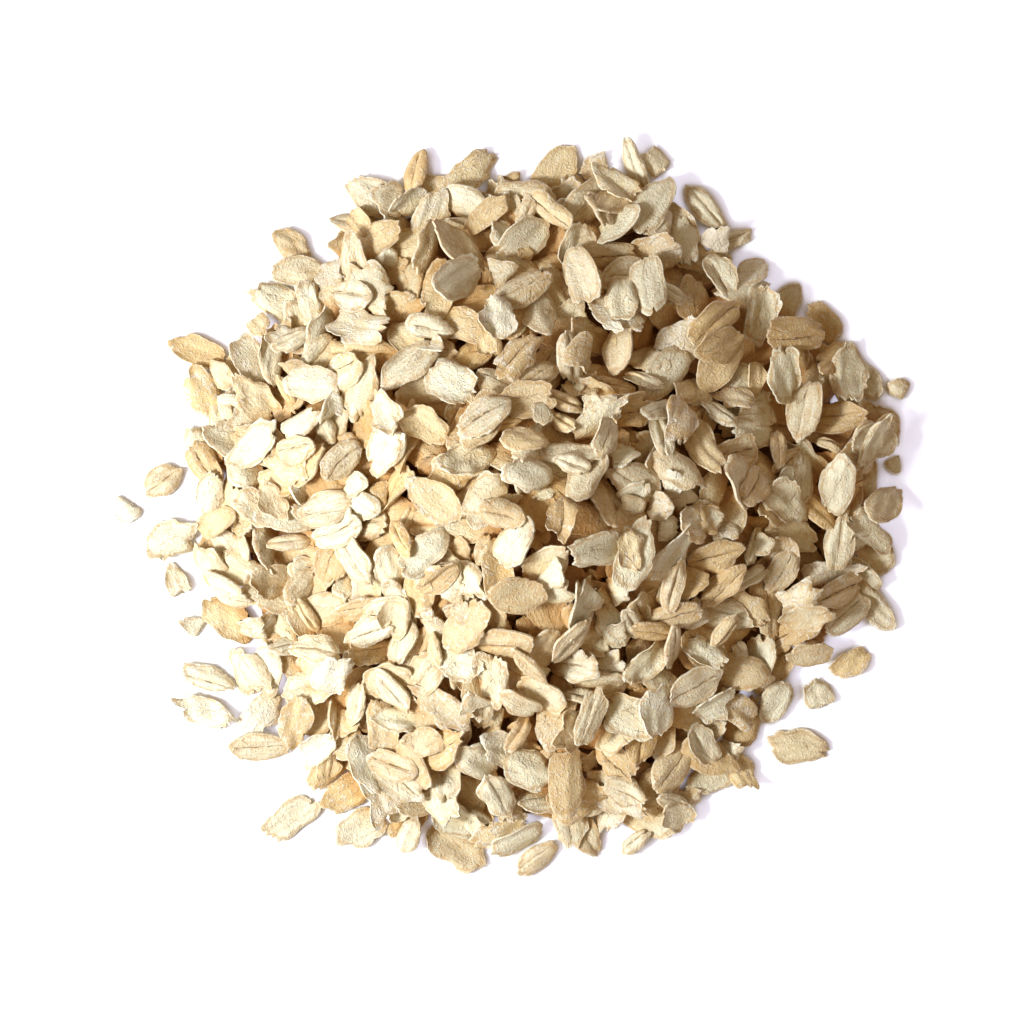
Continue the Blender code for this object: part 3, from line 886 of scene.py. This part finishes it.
        count = s.size
        edge = disc.edge()
        sheet = np.stack((u * flake.length / 2, v * flake.width / 2), axis=-1).reshape(-1, 2)
        swollen = sheet[edge] * (1 + 2 * self.RIM_SWELL / flake.width)
        upper = np.column_stack((sheet, top.ravel()))
        lower = np.column_stack((sheet, low.ravel()))
        wall = np.column_stack((swollen, middle.ravel()[edge]))
        local = np.concatenate((upper, lower, wall))
        points = local @ flake.axes() + (flake.x + place[0], flake.y + place[1], flake.z)
        lowest = points[:, 2].min()
        if lowest < least:
            points[:, 2] += least - lowest

        ring = 2 * count + np.arange(len(edge))
        bands = []
        for over, under in ((edge, ring), (ring, edge + count)):
            bands.append(np.stack((np.roll(over, -1), over, under, np.roll(under, -1)), axis=-1))
        sheets = disc.faces()
        faces = np.concatenate((sheets, sheets[:, ::-1] + count, *bands))

        shares = np.stack((along, across, crease), axis=-1).reshape(-1, 3)
        oval = np.concatenate((shares, shares, shares[edge]))
        sides = np.repeat((1.0, -1.0, 0.0), (count, count, len(edge)))
        # How far each point lies under the heap's even level, from which the material paints shade deep
        # in the heap.
        rows = self.ground.cells(points[:, 1] - place[1])
        columns = self.ground.cells(points[:, 0] - place[0])
        deep = (self.level[rows, columns] - points[:, 2]) / MM
        lie = np.column_stack((sides, deep, np.zeros(len(local))))
        third = np.full(len(local), self.dice.uniform(0, 900))
        grain = np.column_stack((local[:, :2] / MM, third))
        tint = np.tile(self.dice.uniform(0, 1, 3), (len(local), 1))
        return Shape(points, faces, oval, lie, grain, tint)


def joined_object(name: str, shapes: list[Shape], material: bpy.types.Material) -> bpy.types.Object:
    """Joins many shapes into one mesh object.

    Args:
        name: The object's name.
        shapes: What it is made of.
        material: Its material.

    Returns:
        The object, linked to the scene.
    """
    starts = np.cumsum([0] + [len(shape.points) for shape in shapes[:-1]])
    faces = np.concatenate([shape.faces + start for shape, start in zip(shapes, starts)])
    points = np.concatenate([shape.points for shape in shapes])
    mesh = bpy.data.meshes.new(name)
    mesh.from_pydata(points, [], faces)
    for label in ("oval", "lie", "grain", "tint"):
        values = np.concatenate([getattr(shape, label) for shape in shapes]).astype(np.float32)
        layer = mesh.attributes.new(label, "FLOAT_VECTOR", "POINT")
        layer.data.foreach_set("vector", values.ravel())
    mesh.shade_smooth()
    mesh.set_sharp_from_angle(angle=math.radians(48))
    mesh.materials.append(material)
    made = bpy.data.objects.new(name, mesh)
    bpy.context.scene.collection.objects.link(made)
    return made


class Graph:
    """A short way to write shader nodes: each call adds one and gives its first output."""

    def __init__(self, tree: bpy.types.NodeTree) -> None:
        """Works on one node tree."""
        self.tree = tree

    def node(self, kind: str, inputs: dict[str | int, object], **settings: object) -> bpy.types.Node:
        """Adds a node.

        Args:
            kind: The node's type.
            inputs: Values or sockets for its inputs, by name or number.
            **settings: Its own properties.

        Returns:
            The node itself.
        """
        made = self.tree.nodes.new(kind)
        for name, value in settings.items():
            setattr(made, name, value)
        for key, value in inputs.items():
            if isinstance(value, Socket):
                self.tree.links.new(value, made.inputs[key])
            else:
                made.inputs[key].default_value = value
        return made

    def group(self, tree: bpy.types.NodeTree, inputs: dict[str, object]) -> dict[str, Socket]:
        """Adds a node group, and gives its outputs by name."""
        made = self.node("ShaderNodeGroup", inputs, node_tree=tree)
        return {socket.name: socket for socket in made.outputs}

    def math(self, operation: str, *values: object) -> Socket:
        """The result of a sum on numbers."""
        return self.node("ShaderNodeMath", dict(enumerate(values)), operation=operation).outputs[0]

    def times(self, first: object, second: object) -> Socket:
        """The product of two numbers."""
        return self.math("MULTIPLY", first, second)

    def ramp(self, value: Socket, low: object, high: object, out: tuple[float, float] = (0, 1)) -> Socket:
        """A number moved smoothly from one range to another."""
        inputs = {"Value": value, 1: low, 2: high, 3: out[0], 4: out[1]}
        return self.node("ShaderNodeMapRange", inputs, interpolation_type="SMOOTHSTEP").outputs[0]

    def mix(self, share: object, first: object, second: object, blend: str = "MIX") -> Socket:
        """Two colours mixed."""
        inputs = {0: share, 6: first, 7: second}
        return self.node("ShaderNodeMix", inputs, data_type="RGBA", blend_type=blend).outputs[2]

    def noise(self, place: Socket, scale: object, detail: float, rough: float = 0.55) -> Socket:
        """Soft noise, from about 0.3 to 0.7."""
        inputs = {"Vector": place, "Scale": scale, "Detail": detail, "Roughness": rough}
        return self.node("ShaderNodeTexNoise", inputs).outputs["Fac"]

    def attribute(self, name: str) -> Socket:
        """A vector that the mesh carries."""
        return self.node("ShaderNodeAttribute", {}, attribute_name=name).outputs["Vector"]

    def split(self, vector: Socket) -> list[Socket]:
        """The three parts of a vector."""
        return list(self.node("ShaderNodeSeparateXYZ", {0: vector}).outputs)

    def stretched(self, vector: Socket, scale: tuple[float, float, float]) -> Socket:
        """A vector, each part scaled by itself."""
        return self.node("ShaderNodeMapping", {"Vector": vector, "Scale": scale}).outputs[0]


class GroupGraph(Graph):
    """A shader node group that takes numbers and gives numbers, all of them named."""

    def __init__(self, name: str, inputs: dict[str, float], outputs: tuple[str, ...]) -> None:
        """Starts the group.

        Args:
            name: The group's name.
            inputs: Its inputs' names, with their default values.
            outputs: Its outputs' names.
        """
        super().__init__(bpy.data.node_groups.new(name, "ShaderNodeTree"))
        interface = self.tree.interface
        for label, value in inputs.items():
            socket = interface.new_socket(label, in_out="INPUT", socket_type="NodeSocketFloat")
            socket.default_value = value
        for label in outputs:
            interface.new_socket(label, in_out="OUTPUT", socket_type="NodeSocketFloat")
        self.given = self.tree.nodes.new("NodeGroupInput").outputs
        self.leaving = self.tree.nodes.new("NodeGroupOutput").inputs

    def send(self, name: str, value: Socket) -> None:
        """Links a value to one of the group's outputs."""
        self.tree.links.new(value, self.leaving[name])


class OatGroups:
    """The shader node groups that the flakes share."""

    def __init__(self) -> None:
        """Makes the groups."""
        self.meal = self.mottled_meal()
        self.streaks = self.long_streaks()
        self.margin = self.margin_bands()
        self.crease = self.crease_lines()
        self.cracks = self.fine_cracks()
        self.shade = self.deep_shade()

    def mottled_meal(self) -> bpy.types.NodeTree:
        """Soft blotches a millimetre or two across, and a mealy grain within them."""
        outputs = ("Swell", "Blotch", "Grain", "Specks", "Floured")
        graph = GroupGraph("mottled_meal", {"Grain size": 1.0, "Flour": 0.5}, outputs)
        place = graph.attribute("grain")
        swell = graph.noise(place, 0.6, 2, 0.6)
        graph.send("Swell", swell)
        graph.send("Blotch", graph.ramp(swell, 0.38, 0.66))
        meal = graph.noise(place, graph.times(graph.given["Grain size"], 2.6), 2, 0.7)
        graph.send("Grain", graph.ramp(meal, 0.46, 0.66))
        graph.send("Specks", graph.ramp(meal, 0.46, 0.30))
        rough = graph.math("MULTIPLY_ADD", meal, 0.6, swell)
        least = graph.math("MULTIPLY_ADD", graph.given["Flour"], -0.34, 0.98)
        graph.send("Floured", graph.ramp(rough, least, graph.math("ADD", least, 0.28)))
        return graph.tree

    def long_streaks(self) -> bpy.types.NodeTree:
        """Fine lines that run the flake's length."""
        graph = GroupGraph("long_streaks", {"Scale": 1.0}, ("Streaks",))
        stretched = graph.stretched(graph.attribute("grain"), (0.28, 2.4, 1.0))
        fine = graph.noise(stretched, graph.given["Scale"], 2, 0.6)
        graph.send("Streaks", graph.ramp(fine, 0.38, 0.64))
        return graph.tree

    def margin_bands(self) -> bpy.types.NodeTree:
        """The bands along the rim: a worn pale edge, and a brown line just inside it, partly skin and
        partly painted contour shade.
        """
        inputs = {"Swell": 0.5, "Inset": 0.12, "Wander": 0.10}
        graph = GroupGraph("margin_bands", inputs, ("Edge", "Skin"))
        oval = graph.stretched(graph.attribute("oval"), (1.0, 1.0, 0.0))
        out = graph.node("ShaderNodeVectorMath", {0: oval}, operation="LENGTH").outputs["Value"]
        swell = graph.math("SUBTRACT", graph.given["Swell"], 0.5)
        out = graph.math("ADD", out, graph.times(swell, graph.times(graph.given["Wander"], 4.0)))
        inset = graph.math("SUBTRACT", 1.0, graph.given["Inset"])
        edge = graph.ramp(out, inset, 1.02)
        graph.send("Edge", edge)
        rising = graph.ramp(out, graph.math("SUBTRACT", inset, 0.16), inset)
        graph.send("Skin", graph.times(rising, graph.math("SUBTRACT", 1.0, edge)))
        return graph.tree

    def crease_lines(self) -> bpy.types.NodeTree:
        """The thin dark line in the valley along the flake, broken here and there, and its stain: the
        line is partly the crease's own brown and partly painted shade in the valley.
        """
        inputs = {"Swell": 0.5, "Width": 0.05, "Length": 0.8}
        graph = GroupGraph("crease_lines", inputs, ("Line", "Stain"))
        width, length = graph.given["Width"], graph.given["Length"]
        along, _, crease = graph.split(graph.attribute("oval"))
        wander = graph.math("MULTIPLY_ADD", graph.given["Swell"], 0.30, -0.15)
        off = graph.math("ABSOLUTE", graph.math("ADD", crease, wander))
        breaks = graph.noise(graph.stretched(graph.attribute("grain"), (0.7, 0.5, 1)), 1.0, 2, 0.6)
        wide = graph.times(width, graph.ramp(breaks, 0.40, 0.62, (0.1, 1.4)))
        ends = graph.math("SUBTRACT", length, 0.3)
        run = graph.ramp(graph.math("ABSOLUTE", along), length, ends)
        side = graph.split(graph.attribute("lie"))[0]
        run = graph.times(run, graph.ramp(side, 0.9, 1.0))
        graph.send("Line", graph.times(graph.ramp(off, wide, graph.times(wide, 0.3)), run))
        graph.send("Stain", graph.times(graph.ramp(off, graph.times(width, 5.0), 0.0), run))
        return graph.tree

    def fine_cracks(self) -> bpy.types.NodeTree:
        """Thin broken lines, most of them along the flake, that the material paints dark as shade in the
        cracks.
        """
        inputs = {"Swell": 0.5, "Scale": 1.0, "Width": 0.035}
        graph = GroupGraph("fine_cracks", inputs, ("Cracks",))
        swell = graph.given["Swell"]
        along, across, third = graph.split(graph.stretched(graph.attribute("grain"), (0.14, 0.62, 1)))
        across = graph.math("ADD", graph.math("MULTIPLY_ADD", swell, 0.7, across), third)
        place = graph.node("ShaderNodeCombineXYZ", {0: along, 1: across}).outputs[0]
        inputs = {"Vector": place, "Scale": graph.given["Scale"]}
        settings = {"feature": "DISTANCE_TO_EDGE", "voronoi_dimensions": "2D"}
        cells = graph.node("ShaderNodeTexVoronoi", inputs, **settings).outputs["Distance"]
        line = graph.ramp(cells, graph.given["Width"], 0.0)
        graph.send("Cracks", graph.times(line, graph.ramp(swell, 0.47, 0.58)))
        return graph.tree

    def deep_shade(self) -> bpy.types.NodeTree:
        """How far down in the heap a point lies, from 0 at its surface to 1: masks for painted shade and
        a painted warm bounce light.
        """
        graph = GroupGraph("deep_shade", {"From": 0.0, "To": 4.0}, ("Depth", "Shallow"))
        start = graph.given["From"]
        deep = graph.split(graph.attribute("lie"))[1]
        graph.send("Depth", graph.ramp(deep, start, graph.given["To"]))
        above, below = graph.math("SUBTRACT", start, 1.4), graph.math("ADD", start, 1.6)
        graph.send("Shallow", graph.ramp(deep, above, below))
        return graph.tree


@dataclass(frozen=True)
class OatFinish:
    """The finish of one kind of flake.

    Attributes:
        name: The material's name.
        pale: Colour of the palest flakes.
        tan: Colour of the brownest flakes.
        ruddy: Colour that the warmest flakes tend to.
        grey: Colour that the coolest flakes tend to.
        skin: Colour of the brown skin in blotches and along the margins, where it also paints contour
            shade.
        painted_glow: Painted bounce light: a warm tint multiplied into the colour under the heap's
            surface, where light passes between flakes.
        deep: Painted shade: the dark colour that points far down in the heap are mixed to, where shade
            falls between flakes.
        white: Colour of bare flour.
        line: Colour in the crease and in the cracks, a dark brown that is partly painted shade in these
            hollows.
        flour: How much of the face is bare flour.
        brown: How strongly the brown line along the margin shows, partly skin and partly painted contour
            shade.
        streaks: How strongly the long lines show.
        crease: How dark the line in the valley is.
        cracks: How dark the painted shade in the fine cracks is.
        speckle: How strongly the mealy grain shows, pale and dark.
        bump: Height of the surface's relief, in metres.
    """

    name: str
    pale: Colour = (0.82, 0.785, 0.59, 1.0)
    tan: Colour = (0.61, 0.44, 0.21, 1.0)
    ruddy: Colour = (0.79, 0.56, 0.24, 1.0)
    grey: Colour = (0.64, 0.605, 0.45, 1.0)
    skin: Colour = (0.52, 0.31, 0.11, 1.0)
    painted_glow: Colour = (1.0, 0.83, 0.54, 1.0)
    deep: Colour = (0.52, 0.255, 0.075, 1.0)
    white: Colour = (0.90, 0.87, 0.75, 1.0)
    line: Colour = (0.13, 0.065, 0.025, 1.0)
    flour: float = 0.35
    brown: float = 0.58
    streaks: float = 0.30
    crease: float = 0.0
    cracks: float = 0.30
    speckle: float = 0.22
    bump: float = 0.115 * MM

    def material(self, groups: OatGroups) -> bpy.types.Material:
        """Builds the material.

        Args:
            groups: The shared node groups.

        Returns:
            The material.
        """
        made = bpy.data.materials.new(self.name)
        made.use_nodes = True
        graph = Graph(made.node_tree)
        shader = made.node_tree.nodes["Principled BSDF"]
        tone, rubbed, warmth = graph.split(graph.attribute("tint"))
        flour = graph.times(graph.math("POWER", rubbed, 1.4), 2.2 * self.flour)
        meal = graph.group(groups.meal, {"Grain size": 0.85, "Flour": flour})
        swell = meal["Swell"]
        streaks = graph.group(groups.streaks, {"Scale": 1.0})["Streaks"]
        margin = graph.group(groups.margin, {"Swell": swell, "Inset": 0.10, "Wander": 0.10})
        cracks = graph.group(groups.cracks, {"Swell": swell, "Scale": 1.0, "Width": 0.04})["Cracks"]
        shade = graph.group(groups.shade, {"From": 1.0, "To": 3.6})
        height = graph.math("MULTIPLY_ADD", streaks, -0.8 * self.streaks, meal["Grain"])
        height = graph.math("MULTIPLY_ADD", cracks, -0.8, height)

        browned = graph.ramp(tone, 0.1, 1.0, (0.12, 0.55))
        layers = [
            (graph.ramp(warmth, 0.64, 1.0, (0, 0.65)), self.ruddy),
            (graph.ramp(warmth, 0.22, 0.0, (0, 0.30)), self.grey),
            (graph.times(meal["Blotch"], browned), self.skin),
            (graph.times(streaks, self.streaks), self.skin),
            # The brown line inside the rim is partly skin and partly painted contour shade.
            (graph.times(margin["Skin"], self.brown), self.skin),
            (graph.times(meal["Specks"], 0.8 * self.speckle), self.skin),
            (graph.times(meal["Grain"], self.speckle), self.white),
            (graph.times(meal["Floured"], 0.55), self.white),
            (graph.times(margin["Edge"], 0.18), self.white),
            # Painted shade: the fine cracks are painted dark, as shade in them.
            (graph.times(cracks, self.cracks), self.line),
        ]
        if self.crease:
            valley = graph.group(groups.crease, {"Swell": swell, "Width": 0.046, "Length": 0.95})
            strong = graph.ramp(rubbed, 0.1, 0.6, (0.15 * self.crease, self.crease))
            layers.append((graph.times(valley["Stain"], graph.times(strong, 0.3)), self.skin))
            # The line in the valley is partly the crease's own brown and partly painted shade.
            layers.append((graph.times(valley["Line"], strong), self.line))
            height = graph.math("MULTIPLY_ADD", valley["Line"], -1.2, height)
        colour = graph.mix(graph.math("POWER", tone, 2.3), self.pale, self.tan)
        for share, over in layers:
            colour = graph.mix(share, colour, over)
        # Painted bounce light: points under the heap's even level are tinted warm, as light that passes
        # between flakes.
        colour = graph.mix(graph.times(shade["Shallow"], 0.8), colour, self.painted_glow, "MULTIPLY")
        # Painted shade: points deep under the heap's even level are mixed to a dark brown, where shade
        # falls between flakes.
        colour = graph.mix(graph.times(shade["Depth"], 0.92), colour, self.deep)
        bump = graph.node("ShaderNodeBump", {"Strength": 0.7, "Distance": self.bump, "Height": height})
        graph.tree.links.new(colour, shader.inputs["Base Color"])
        graph.tree.links.new(bump.outputs[0], shader.inputs["Normal"])
        shader.inputs["Roughness"].default_value = 0.55
        shader.inputs["Specular IOR Level"].default_value = 0.3
        return made


FINISHES: dict[Kind, OatFinish] = {
    Kind.CREASED: OatFinish("creased_oat", flour=0.3, streaks=0.42, crease=0.8),
    Kind.SMOOTH: OatFinish("smooth_oat", flour=0.3, streaks=0.20, cracks=0.16),
    Kind.TORN: OatFinish(
        "torn_oat",
        pale=(0.80, 0.76, 0.55, 1.0),
        tan=(0.62, 0.50, 0.31, 1.0),
        flour=0.55,
        brown=0.7,
        streaks=0.10,
        cracks=0.4,
        speckle=0.38,
        bump=0.135 * MM,
    ),
    Kind.BROKEN: OatFinish("broken_oat", flour=0.6, streaks=0.12, speckle=0.36),
    Kind.NARROW: OatFinish(
        "narrow_oat", tan=(0.66, 0.45, 0.22, 1.0), flour=0.2, streaks=0.34, crease=0.6
    ),
}


@dataclass(frozen=True)
class CoreFinish:
    """The finish of what lies deep in the heap: painted shade, a dark brown with darker patches, over a
    relief of small bits.
    """

    colour: Colour = (0.36, 0.17, 0.06, 1.0)
    dark: Colour = (0.20, 0.08, 0.025, 1.0)

    def material(self) -> bpy.types.Material:
        """Builds the material."""
        made = bpy.data.materials.new("oat_core")
        made.use_nodes = True
        graph = Graph(made.node_tree)
        shader = made.node_tree.nodes["Principled BSDF"]
        place = graph.node("ShaderNodeTexCoord", {}).outputs["Object"]
        patches = graph.noise(place, 380, 4)
        chips = graph.node("ShaderNodeTexVoronoi", {"Vector": place, "Scale": 300.0})
        # Painted shade: the core is dark brown, as the shade deep between the flakes.
        colour = graph.mix(graph.ramp(patches, 0.35, 0.65), self.colour, self.dark)
        height = graph.math("ADD", patches, chips.outputs["Distance"])
        bump = graph.node("ShaderNodeBump", {"Distance": 0.8 * MM, "Height": height})
        graph.tree.links.new(colour, shader.inputs["Base Color"])
        graph.tree.links.new(bump.outputs[0], shader.inputs["Normal"])
        shader.inputs["Roughness"].default_value = 0.9
        return made


@dataclass
class OatHeap:
    """The dressed heap: its core, its flakes by kind, and the crumbs on it.

    Attributes:
        form: The heap's sizes and the rule that lays it.
        least: The lowest that anything in the heap reaches.
        loose: The grid for a flake that lies apart.
        fine: The grid for a flake with a crease.
        plain: The grid for any other.
        middling: The grid for a flake that shows in fewer cells than half_hidden.
        coarse: The grid for one that shows in fewer cells than hidden.
        bit: The grid for a crumb.
        crumbs: How many crumbs there are.
        crumb_length: Their least and greatest length.
        crumb_thick: Their least and greatest thickness.
        core_turns: Points in each ring of the core.
        core_rings: Rings from its middle to its foot.
        core_reach: How far it goes, as a share of the heap's foot.
    """

    form: HeapForm = field(default_factory=HeapForm)
    least: float = 0.1 * MM
    loose: Disc = Disc(31, 21, 1.35)
    fine: Disc = Disc(21, 13, 1.45)
    plain: Disc = Disc(19, 13, 1.1)
    middling: Disc = Disc(17, 11, 1.2)
    coarse: Disc = Disc(9, 7, 1.1)
    half_hidden: int = 18
    hidden: int = 4
    bit: Disc = Disc(9, 7, 1.0)
    crumbs: int = 36
    crumb_length: tuple[float, float] = (1.8 * MM, 4.0 * MM)
    crumb_thick: tuple[float, float] = (0.18 * MM, 0.30 * MM)
    core_turns: int = 120
    core_rings: int = 34
    core_reach: float = 0.86

    def build(self, groups: OatGroups) -> None:
        """Lays the heap and makes its pieces.

        Args:
            groups: The shared node groups.
        """
        strays = self.form.lay_strays()
        flakes, ground = self.form.lay(strays)
        laid = len(flakes)
        self.form.back_gaps(flakes, ground)
        LOG.info("%d flakes behind gaps", len(flakes) - laid)
        self.form.fill_gaps(flakes, ground)
        LOG.info("laid %d flakes, top %.1f mm", len(flakes), ground.height.max() / MM)
        materials = {kind: finish.material(groups) for kind, finish in FINISHES.items()}
        self.own(self.core(ground), "oat_heap")
        seen = np.bincount(ground.top[ground.top >= 0], minlength=len(flakes))
        modeller = FlakeModeller(SEED + 2, ground)
        by_kind: dict[Kind, list[Shape]] = {kind: [] for kind in Kind}
        for flake, cells in zip(flakes, seen):
            by_kind[flake.kind].append(
                modeller.shape(flake, self.disc_for(flake, int(cells)), self.form.place, self.least)
            )
        for kind, shapes in by_kind.items():
            piece = joined_object(f"{kind.value}_flakes", shapes, materials[kind])
            self.own(piece, "oat_heap")
            LOG.info("%s: %d flakes, %d faces", piece.name, len(shapes), len(piece.data.polygons))
        crumbs = joined_object("crumbs", self.crumb_shapes(ground), materials[Kind.TORN])
        self.own(crumbs, "oat_heap")
        for number, flake in enumerate(strays, 1):
            shape = modeller.shape(flake, self.loose, self.form.place, 0.0)
            piece = joined_object(f"loose_flake_{number:02d}", [shape], materials[flake.kind])
            self.own(piece, f"stray_flake_{number:02d}")
        LOG.info("%d loose flakes", len(strays))

    def disc_for(self, flake: Flake, cells: int) -> Disc:
        """The grid for a flake: finer the more of it shows."""
        if cells < self.hidden:
            return self.coarse
        if cells < self.half_hidden:
            return self.middling
        return self.fine if FORMS[flake.kind].lobes else self.plain

    def own(self, piece: bpy.types.Object, node: str) -> None:
        """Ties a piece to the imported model."""
        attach(piece, "root")
        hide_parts(node)

    def core(self, ground: Ground) -> bpy.types.Object:
        """The heap under its flakes, down to the table."""
        turns, rings = self.core_turns, self.core_rings
        points, faces = [], []
        for ring in range(rings + 1):
            for k in range(turns):
                angle = math.tau * k / turns
                reach = self.form.foot_radius(angle) * self.core_reach * ring / rings
                x, y = reach * math.cos(angle), reach * math.sin(angle)
                z = ground.base[ground.cell(y), ground.cell(x)] - 0.2 * MM
                points.append((x + self.form.place[0], y + self.form.place[1], max(z, self.least)))
        edge = len(points) - turns
        points += [(x, y, 0.0) for x, y, _ in points[edge:]]
        for ring in range(rings + 1):
            for k in range(turns):
                after = (k + 1) % turns
                low, high = ring * turns, (ring + 1) * turns
                faces.append((low + k, high + k, high + after, low + after))
        faces.append(tuple(reversed(range(edge + turns, len(points)))))
        mesh = bpy.data.meshes.new("heap_core")
        mesh.from_pydata(points, [], faces)
        mesh.shade_smooth()
        mesh.materials.append(CoreFinish().material())
        made = bpy.data.objects.new("heap_core", mesh)
        bpy.context.scene.collection.objects.link(made)
        return made

    def crumb_shapes(self, ground: Ground) -> list[Shape]:
        """Small broken bits that lie among the flakes.

        Args:
            ground: The surface that the flakes make.

        Returns:
            The bits' meshes.
        """
        dice = np.random.default_rng(SEED + 3)
        modeller = FlakeModeller(SEED + 4, ground)
        shapes = []
        while len(shapes) < self.crumbs:
            length = dice.uniform(*self.crumb_length)
            bit = self.form.sizes.draw(dice, Kind.TORN, length, length * dice.uniform(0.45, 0.9))
            bit.thick = dice.uniform(*self.crumb_thick)
            bit.cup, bit.bow, bit.twist = bit.cup / 4, bit.bow / 4, bit.twist / 4
            places = [self.form.place_in_heap(dice) for _ in range(self.form.tries)]
            bit.x, bit.y = max(places, key=lambda place: ground.shortfall(*place))
            steepness = ground.settle(bit, (0.0, 0.0), 0.0)
            bit.z += 0.05 * MM
            if steepness < ground.STEEPEST:
                shapes.append(modeller.shape(bit, self.bit, self.form.place, self.least))
        return shapes


@dataclass(frozen=True)
class TableFinish:
    """Plain white tabletop, matt, with the faintest unevenness, and a painted glow of its own that dims
    next to the flakes as painted contact shadow.

    Attributes:
        colour: Colour of the top.
        painted_glow: Painted light: colour of the glow that the top gives off itself, where nothing
            stands over it.
        reach: How near a flake has to be to dim that glow, which paints the contact shadow round it.
    """

    colour: Colour = (0.93, 0.93, 0.93, 1.0)
    painted_glow: Colour = (0.50, 0.52, 0.68, 1.0)
    reach: float = 2.2 * MM

    def material(self) -> bpy.types.Material:
        """Builds the material."""
        made = bpy.data.materials.new("white_table")
        made.use_nodes = True
        graph = Graph(made.node_tree)
        shader = made.node_tree.nodes["Principled BSDF"]
        place = graph.node("ShaderNodeTexCoord", {}).outputs["Object"]
        cloud = graph.noise(place, 9.0, 3)
        shade = graph.mix(cloud, self.colour, (0.90, 0.90, 0.905, 1.0))
        graph.tree.links.new(shade, shader.inputs["Base Color"])
        shader.inputs["Roughness"].default_value = 0.7
        # Painted light and shadow: the top glows like a lamp, and less within reach of a flake, as a
        # contact shadow.
        shader.inputs["Emission Color"].default_value = self.painted_glow
        open_air = graph.node("ShaderNodeAmbientOcclusion", {"Distance": self.reach})
        lit = graph.ramp(open_air.outputs["AO"], 0.55, 0.97, (0.0, 1.0))
        graph.tree.links.new(lit, shader.inputs["Emission Strength"])
        return made


@dataclass
class Studio:
    """The table, the light and the camera.

    Attributes:
        lens: Focal length, in millimetres.
        distance: Camera's height over the table.
        aim: Point on the table in the middle of the picture.
        key_from: Direction that the main light comes from.
        key_power: Its power, in watts.
        key_size: Its width.
        key_distance: How far off it is.
        box_from: Direction that the wide soft light comes from.
        box_power: Its power, in watts.
        box_size: Its width.
        box_distance: How far off it is.
        sky: Colour of the light from all round.
        sky_strength: Its strength.
        lamp_colour: Colour of both lights.
        table_half: Half the table's width.
    """

    lens: float = 85.0
    distance: float = 0.381
    aim: tuple[float, float] = (0.45 * MM, -0.52 * MM)
    key_from: tuple[float, float, float] = (-0.71, -0.18, 0.71)
    key_power: float = 1.37
    key_size: float = 0.08
    key_distance: float = 0.34
    box_from: tuple[float, float, float] = (-0.86, -0.24, 0.50)
    box_power: float = 1.06
    box_size: float = 0.50
    box_distance: float = 0.40
    sky: tuple[float, float, float] = (1.0, 0.71, 0.43)
    sky_strength: float = 0.325
    lamp_colour: tuple[float, float, float] = (0.935, 1.0, 1.07)
    table_half: float = 4.0

    def build(self) -> None:
        """Makes the table, the lights and the camera."""
        self.table()
        self.light("key", self.key_from, self.key_distance, self.key_power, self.key_size)
        self.light("soft_box", self.box_from, self.box_distance, self.box_power, self.box_size)
        self.surroundings()
        self.camera()

    def table(self) -> None:
        """A wide flat table."""
        mesh = bpy.data.meshes.new("table_top")
        signs = ((-1, -1), (1, -1), (1, 1), (-1, 1))
        corners = [(x * self.table_half, y * self.table_half, -0.05 * MM) for x, y in signs]
        mesh.from_pydata(corners, [], [(0, 1, 2, 3)])
        mesh.materials.append(TableFinish().material())
        made = bpy.data.objects.new("table_top", mesh)
        bpy.context.scene.collection.objects.link(made)

    def light(
        self,
        name: str,
        back: tuple[float, float, float],
        distance: float,
        power: float,
        size: float,
    ) -> None:
        """Adds a round light that faces the heap.

        Args:
            name: The light's name.
            back: Direction that it comes from.
            distance: How far off it is.
            power: Its power, in watts.
            size: Its width.
        """
        light = bpy.data.lights.new(name, "AREA")
        light.shape = "DISK"
        light.size = size
        light.energy = power
        light.color = self.lamp_colour
        made = bpy.data.objects.new(name, light)
        way = Vector(back).normalized()
        made.location = way * distance
        made.rotation_euler = way.to_track_quat("Z", "Y").to_euler()
        bpy.context.scene.collection.objects.link(made)

    def surroundings(self) -> None:
        """Even light from all round."""
        world = bpy.data.worlds.new("soft_sky")
        bpy.context.scene.world = world
        world.use_nodes = True
        shade = world.node_tree.nodes["Background"]
        shade.inputs["Color"].default_value = (*self.sky, 1.0)
        shade.inputs["Strength"].default_value = self.sky_strength

    def camera(self) -> None:
        """Looks straight down on the heap."""
        lens = bpy.data.cameras.new("camera")
        lens.lens = self.lens
        lens.sensor_width = 36.0
        lens.clip_start, lens.clip_end = 0.01, 20.0
        made = bpy.data.objects.new("camera", lens)
        made.location = (*self.aim, self.distance)
        bpy.context.scene.collection.objects.link(made)
        bpy.context.scene.camera = made
        bpy.context.scene.view_settings.view_transform = "Standard"


def main() -> None:
    """Builds the studio and the heap."""
    logging.basicConfig(level=logging.INFO, format="%(name)s: %(message)s")
    Studio().build()
    LOG.info("studio ready")
    OatHeap().build(OatGroups())


if __name__ == "__main__":
    main()
